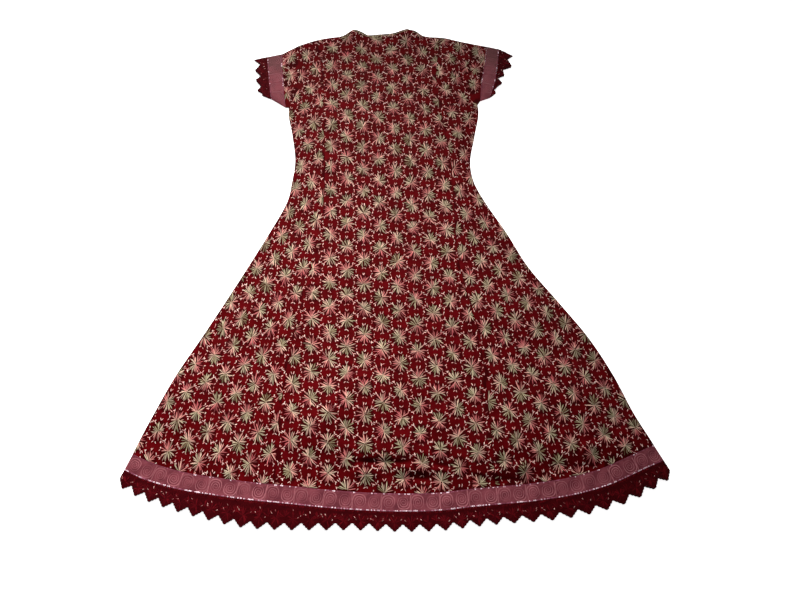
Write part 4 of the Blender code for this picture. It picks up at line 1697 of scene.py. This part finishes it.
def neckline_places(dice):
    """Slanting tan stitches that hold the rolled edge of the neck."""
    across = np.arange(NECK_POINTS[0][0] + 0.006, NECK_POINTS[1][0] - 0.004, NECK_STITCH_GAP)
    count = len(across)
    across = across + dice.normal(0, 0.0003, count)
    rise = top_line(across + SLOPE_SPAN) - top_line(across - SLOPE_SPAN)
    slope = np.arctan2(rise, 2 * SLOPE_SPAN)
    table = {}
    add_stitches(table, across=across, up=top_line(across) - NECK_STITCH_DOWN, kind=GRAIN,
                 turn=slope + dice.normal(0.25, 0.15, count),
                 length=dice.uniform(0.0032, 0.0048, count), width=0.0020, height=0.0005,
                 tone=dice.uniform(0.02, 0.26, count), shade=dice.uniform(0.7, 1.1, count))
    return gathered(table)


def clear_of_slit(places):
    """Whether stitches stay off the slit at the back of the neck."""
    across, up = stitch_middle(places)
    edge_a, edge_b = PANEL_SIDES["centre"]
    aside = np.abs(across - (edge_a(up) + edge_b(up)) / 2)
    reach = (places["length"] * np.abs(np.cos(places["turn"])) + places["width"] + SLIT_WIDTH) / 2
    return (aside > reach) | (up < top_line(across) - SLIT_LENGTH)


def embroider_panel(name, side, facing, seed):
    """Sew a panel's stars; the front centre also gets the neck's stitches."""
    dice = np.random.default_rng(seed)
    lattice = LATTICES[side]
    centres = star_centres(lattice)
    near = inside_panel(side, centres[:, 0], centres[:, 1], -STARS_PAST_PANEL)
    places = star_places(centres[near], lattice, dice)
    places = chosen(places, inside_panel(side, *stitch_middle(places), STITCH_MARGIN))
    if name == "front_centre":
        neck = neckline_places(dice)
        places = {label: np.concatenate([places[label], neck[label]]) for label in places}
    if name == "back_centre":
        places = chosen(places, clear_of_slit(places))
    stitch_pieces[name] = sew(name + "_stars", places, cloth_pieces[name], facing, star_thread)


FRONT_SEED = 11
BACK_SEED = 21
for number, side in enumerate(("left", "centre", "right")):
    embroider_panel("front_" + side, side, 1, FRONT_SEED + number)
    embroider_panel("back_" + side, side, -1, BACK_SEED + number)


# %% Stars on the sleeves, cut by the armhole and the ribbon
SLEEVE_SEED = 31
SLEEVE_STARS = {
    "left": ((-0.1905, 0.834), (-0.1865, 0.790), (-0.1930, 0.752), (-0.206, 0.812)),
    "right": ((0.1450, 0.846), (0.1390, 0.805), (0.1360, 0.770), (0.1560, 0.826)),
}


def inside_sleeve(side, across, up):
    """Whether places lie on a sleeve's cloth: between its armhole and its ribbon."""
    marks = np.linspace(0, 1, 41)
    start = armhole(side, marks)
    end = sleeve_line(side, "inner", marks)
    ring = np.concatenate([np.stack(start, 1), np.stack(end, 1)[::-1]])
    after = np.roll(ring, -1, axis=0)
    crossings = np.zeros(across.shape, int)
    for (a_across, a_up), (b_across, b_up) in zip(ring, after):
        spans = (a_up > up) != (b_up > up)
        slope = (b_across - a_across) / ((b_up - a_up) or 1e-9)
        crossings += (spans & (across < a_across + (up - a_up) * slope)).astype(int)
    return crossings % 2 == 1


for number, side in enumerate(("left", "right")):
    for facing, layer in LAYERS:
        dice = np.random.default_rng(SLEEVE_SEED + number + 2 * facing)
        places = star_places(np.array(SLEEVE_STARS[side]), LATTICES[side], dice)
        places = chosen(places, inside_sleeve(side, *stitch_middle(places)))
        name = "sleeve_" + side + "_" + layer
        stitch_pieces[name] = sew(name + "_stars", places, sleeve_pieces[side][0], facing,
                                  star_thread)


# %% [markdown]
# The ribbon's scrolls and its cord, with painted glints.
#
# Scrolls follow each other along the middle of the ribbon, each turned over against the last. The
# cord lies on both edges as a row of small beads, and here and there a bead is painted near white
# as a glint. Most of its beads are dim, and more are painted bright along the hem's lower edge
# than anywhere else.

# %% Places every so far along a line
SCROLL_PITCH = 0.0203
SCROLL_HEIGHT = 0.00016
BEAD_GAP = 0.0021
BEAD_WIDTH = 0.0013
BRIGHT_BEAD_WIDER = 0.0008
BEAD_HEIGHT = 0.00050
CORD_INSET = 0.0009
HEM_RARITIES = (5.5, 1.2)
SLEEVE_RARITIES = (9.0, 5.0)
SLEEVE_SCROLL_LIGHT = 0.72
SLEEVE_CORDS = (0.035, 0.955)


def spaced(across, up, gap, start=0.0):
    """Places and directions, a gap apart, along a line."""
    run = np.concatenate([[0], np.cumsum(np.hypot(np.diff(across), np.diff(up)))])
    marks = np.arange(start, run[-1] - start * 0.5, gap)
    spot = np.interp(marks, run, across), np.interp(marks, run, up)
    ahead = np.interp(marks + gap / 2, run, across), np.interp(marks + gap / 2, run, up)
    behind = np.interp(marks - gap / 2, run, across), np.interp(marks - gap / 2, run, up)
    return spot[0], spot[1], np.arctan2(ahead[1] - behind[1], ahead[0] - behind[0])


def scroll_places(across, up, light, dice):
    """Scrolls along a line, turned up and down by turns."""
    spot_across, spot_up, turn = spaced(across, up, SCROLL_PITCH, SCROLL_PITCH / 2)
    count = len(turn)
    turn = turn + np.pi * (np.arange(count) % 2) + dice.normal(0, 0.05, count)
    table = {}
    add_stitches(table, across=spot_across, up=spot_up, kind=SCROLL, turn=turn,
                 length=SCROLL_PITCH * dice.uniform(0.94, 1.04, count),
                 width=SCROLL_PITCH * dice.uniform(0.93, 1.05, count), height=SCROLL_HEIGHT,
                 tone=dice.uniform(0.0, 1.0, count), shade=light * dice.uniform(0.9, 1.06, count))
    return gathered(table)


def bead_places(lines, rarities, dice):
    """Beads on some lines; the higher a line's rarity, the fewer of its beads are painted bright
    as glints.
    """
    table = {}
    for (across, up), rarity in zip(lines, rarities):
        spot_across, spot_up, turn = spaced(across, up, BEAD_GAP, BEAD_GAP / 2)
        count = len(turn)
        # Painted glints: a few beads get a tone near white, and some stretches of the line get
        # more of them
        lit = dice.uniform(0, 1, count) ** rarity
        glint_stretch = 0.55 + 0.45 * (np.sin(np.arange(count) * 0.23 + dice.uniform(0, 6)) > -0.6)
        width = BEAD_WIDTH + BRIGHT_BEAD_WIDER * np.minimum(lit * 1.5, 1)
        add_stitches(table, across=spot_across, up=spot_up, kind=GRAIN,
                     turn=turn + dice.normal(0, 0.28, count),
                     length=BEAD_GAP * dice.uniform(0.9, 1.35, count),
                     width=width * dice.uniform(0.8, 1.2, count), height=BEAD_HEIGHT,
                     tone=np.clip(lit * glint_stretch * 1.5, 0.1, 1), shade=dice.uniform(0.8, 1.1, count))
    return gathered(table)


# %% Sew the scrolls and the cord on the hem's ribbon and on both sleeves'
RIBBON_SEED = 41
dice = np.random.default_rng(RIBBON_SEED)
trim_pieces = {}


def trim_ribbon(node, band, middle, light, borders, rarities):
    """Scrolls along a ribbon's middle and cords along its borders, on both layers."""
    for facing, layer in LAYERS:
        name = node + "_" + layer
        scrolls = scroll_places(*middle, light, dice)
        trim_pieces[name + "_scrolls"] = sew(name + "_scrolls", scrolls, band, facing, scroll_yarn)
        beads = bead_places(borders, rarities, dice)
        trim_pieces[name + "_cord"] = sew(name + "_cord", beads, band, facing, glint_painted_cord)


ribbon_edge = hem_edge(np.linspace(0.05, HEM_COLUMNS_IN_ALL - 0.05, 700))
middle = fanned(*ribbon_edge, RIBBON_WIDTH * 0.5)
borders = [fanned(*ribbon_edge, down) for down in (CORD_INSET, RIBBON_WIDTH - CORD_INSET)]
trim_ribbon("hem_ribbon", hem_ribbon, middle, 1.0, borders, HEM_RARITIES)
for side in ("left", "right"):
    down = np.linspace(0.02, 0.98, 200)
    inner = sleeve_line(side, "inner", down)
    outer = sleeve_line(side, "outer", down)
    lines = np.stack(rings_between(inner, outer, (0.5,) + SLEEVE_CORDS), 1)
    trim_ribbon("sleeve_ribbon_" + side, sleeve_pieces[side][1], lines[0], SLEEVE_SCROLL_LIGHT,
                lines[1:], SLEEVE_RARITIES)


# %% [markdown]
# The lace's threads.
#
# Thick thread covers the net. Under each point of the lace a fan of stitches opens downwards and
# another opens upwards like a leaf, with slanting stitches between them and a rope along the top.
# The charts are in millimetres and degrees, and a point that is longer than the chart's stretches
# them.

# %% Chart of one lace point: kind, along and down from the middle of its top, turn, length, width
ROPE = tuple((GRAIN, along, 1.6, 62, 3.4, 1.5) for along in np.arange(-11.0, 11.1, 2.2))
UPPER_LEAF = tuple((RAY, 0.0, 15.5, turn, 11.5 - abs(turn - 90) * 0.03, 1.7)
                   for turn in range(20, 161, 20))
LOWER_FAN = tuple((RAY, 0.0, 15.0, -90 + turn, 11.0 - abs(turn) * 0.055, 1.9)
                  for turn in range(-66, 67, 22))
SIDE_LEAVES = tuple((RAY, 11.5 * hand, 13.5, 90 - hand * turn, 9.5, 1.6)
                    for hand in (-1, 1) for turn in (-62, -34, -8, 20))
LACE_CHART = ROPE + UPPER_LEAF + LOWER_FAN + SIDE_LEAVES
# Painted glints: pale stitches near the notches, where light catches the picots' loops
GLINT_LOOPS = (
    (-8.6, 9.5, 135),
    (-6.6, 11.6, 135),
    (9.2, 11.0, 52),
    (7.6, 13.6, 48),
    (-2.0, 7.0, 120),
)
GLINT_SHARE = 0.55
CHART_REACH = 27.0
print(len(LACE_CHART), "threads in a lace point")


def lace_places(tops, tips, dice):
    """Stitches of the lace points whose tops' middles and tips are given."""
    table = {}
    chart = np.array(LACE_CHART, float)
    count = len(chart)
    for top, tip in zip(tops, tips):
        outwards = tip - top
        reach = np.linalg.norm(outwards)
        outwards = outwards / reach
        alongside = np.array([-outwards[1], outwards[0]])
        stretch = reach / (CHART_REACH * MM)
        down = chart[:, 2] * MM * stretch
        along = chart[:, 1] * MM
        spot = top + along[:, None] * alongside + down[:, None] * outwards
        base = math.atan2(alongside[1], alongside[0])
        add_stitches(table, across=spot[:, 0], up=spot[:, 1], kind=chart[:, 0],
                     turn=np.radians(chart[:, 3]) + base + dice.normal(0, 0.06, count),
                     length=chart[:, 4] * MM * dice.uniform(0.92, 1.08, count) * stretch ** 0.5,
                     width=chart[:, 5] * MM, height=0.00055 * dice.uniform(0.8, 1.2, count),
                     tone=dice.uniform(0.05, 0.72, count), shade=dice.uniform(0.75, 1.15, count))
        # Painted glints: a share of the pale stitches is sewn on each point
        loops = np.array(GLINT_LOOPS)[dice.uniform(0, 1, len(GLINT_LOOPS)) < GLINT_SHARE]
        if len(loops):
            few = len(loops)
            spot = (top + loops[:, :1] * MM * alongside
                    + loops[:, 1:2] * MM * stretch * outwards + dice.normal(0, 0.0008, (few, 2)))
            add_stitches(table, across=spot[:, 0], up=spot[:, 1], kind=GRAIN,
                         turn=np.radians(loops[:, 2]) + base + dice.normal(0, 0.15, few),
                         length=dice.uniform(0.0026, 0.0044, few), width=0.0013, height=0.0007,
                         tone=dice.uniform(0.80, 1.0, few), shade=dice.uniform(0.6, 1.0, few))
    return gathered(table)


# %% Sew the threads on the hem's lace and on both sleeves'
SLEEVE_POINTS = np.array([0.04, 0.25, 0.5, 0.75, 0.96])
LACE_SEED = 51
dice = np.random.default_rng(LACE_SEED)


def thread_lace(node, net, tops, tips):
    """Threads on both layers of a lace."""
    for facing, layer in LAYERS:
        name = node + "_" + layer + "_threads"
        trim_pieces[name] = sew(name, lace_places(tops, tips, dice), net, facing, lace_thread)


tip_edge = hem_edge(np.arange(HEM_COLUMNS_IN_ALL) + 0.5)
lace_tops = np.stack(fanned(*tip_edge, RIBBON_WIDTH + SEAM_GAP), 1)
lace_tips = np.stack(fanned(*tip_edge, RIBBON_WIDTH + lace_reach(tip_edge[0])), 1)
thread_lace("hem_lace", hem_lace, lace_tops, lace_tips)
for side in ("left", "right"):
    tops = np.stack(sleeve_line(side, "outer", SLEEVE_POINTS), 1)
    tips = np.stack(sleeve_line(side, "tip", SLEEVE_POINTS), 1)
    thread_lace("sleeve_lace_" + side, sleeve_pieces[side][2], tops, tips)

# %% The shapes have been sewn on, so they are put away
for shape in list(stitch_box.objects):
    bpy.data.objects.remove(shape)
bpy.data.collections.remove(stitch_box)


# %% [markdown]
# Tying the looks to the solid pieces.
#
# Every piece rides on the dress's one body and stands for the solid piece whose place it takes.


def tie(piece, node, going):
    """Attach a piece of cloth and the stitches that go with it to the body, and hide its solid
    piece.
    """
    for part in [piece] + going:
        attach(part, "root")
    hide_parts(node)


def tie_tube(piece, node):
    """The same for a tube, with the stitches whose names start with the tube's."""
    sewn_on = {**stitch_pieces, **trim_pieces}
    going = [other for label, other in sewn_on.items() if label.startswith(node + "_")]
    tie(piece, node, going)


for name, piece in cloth_pieces.items():
    layer, side = name.split("_")
    across, up, _ = panel_places(side, 20, 60)
    tie(piece, name, [stitch_pieces[name]])

for side, (cloth, band, lace) in sleeve_pieces.items():
    tie_tube(cloth, "sleeve_" + side)
    tie_tube(band, "sleeve_ribbon_" + side)
    tie_tube(lace, "sleeve_lace_" + side)
tie_tube(hem_ribbon, "hem_ribbon")
tie_tube(hem_lace, "hem_lace")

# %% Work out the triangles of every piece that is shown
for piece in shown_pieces():
    piece.data.calc_loop_triangles()
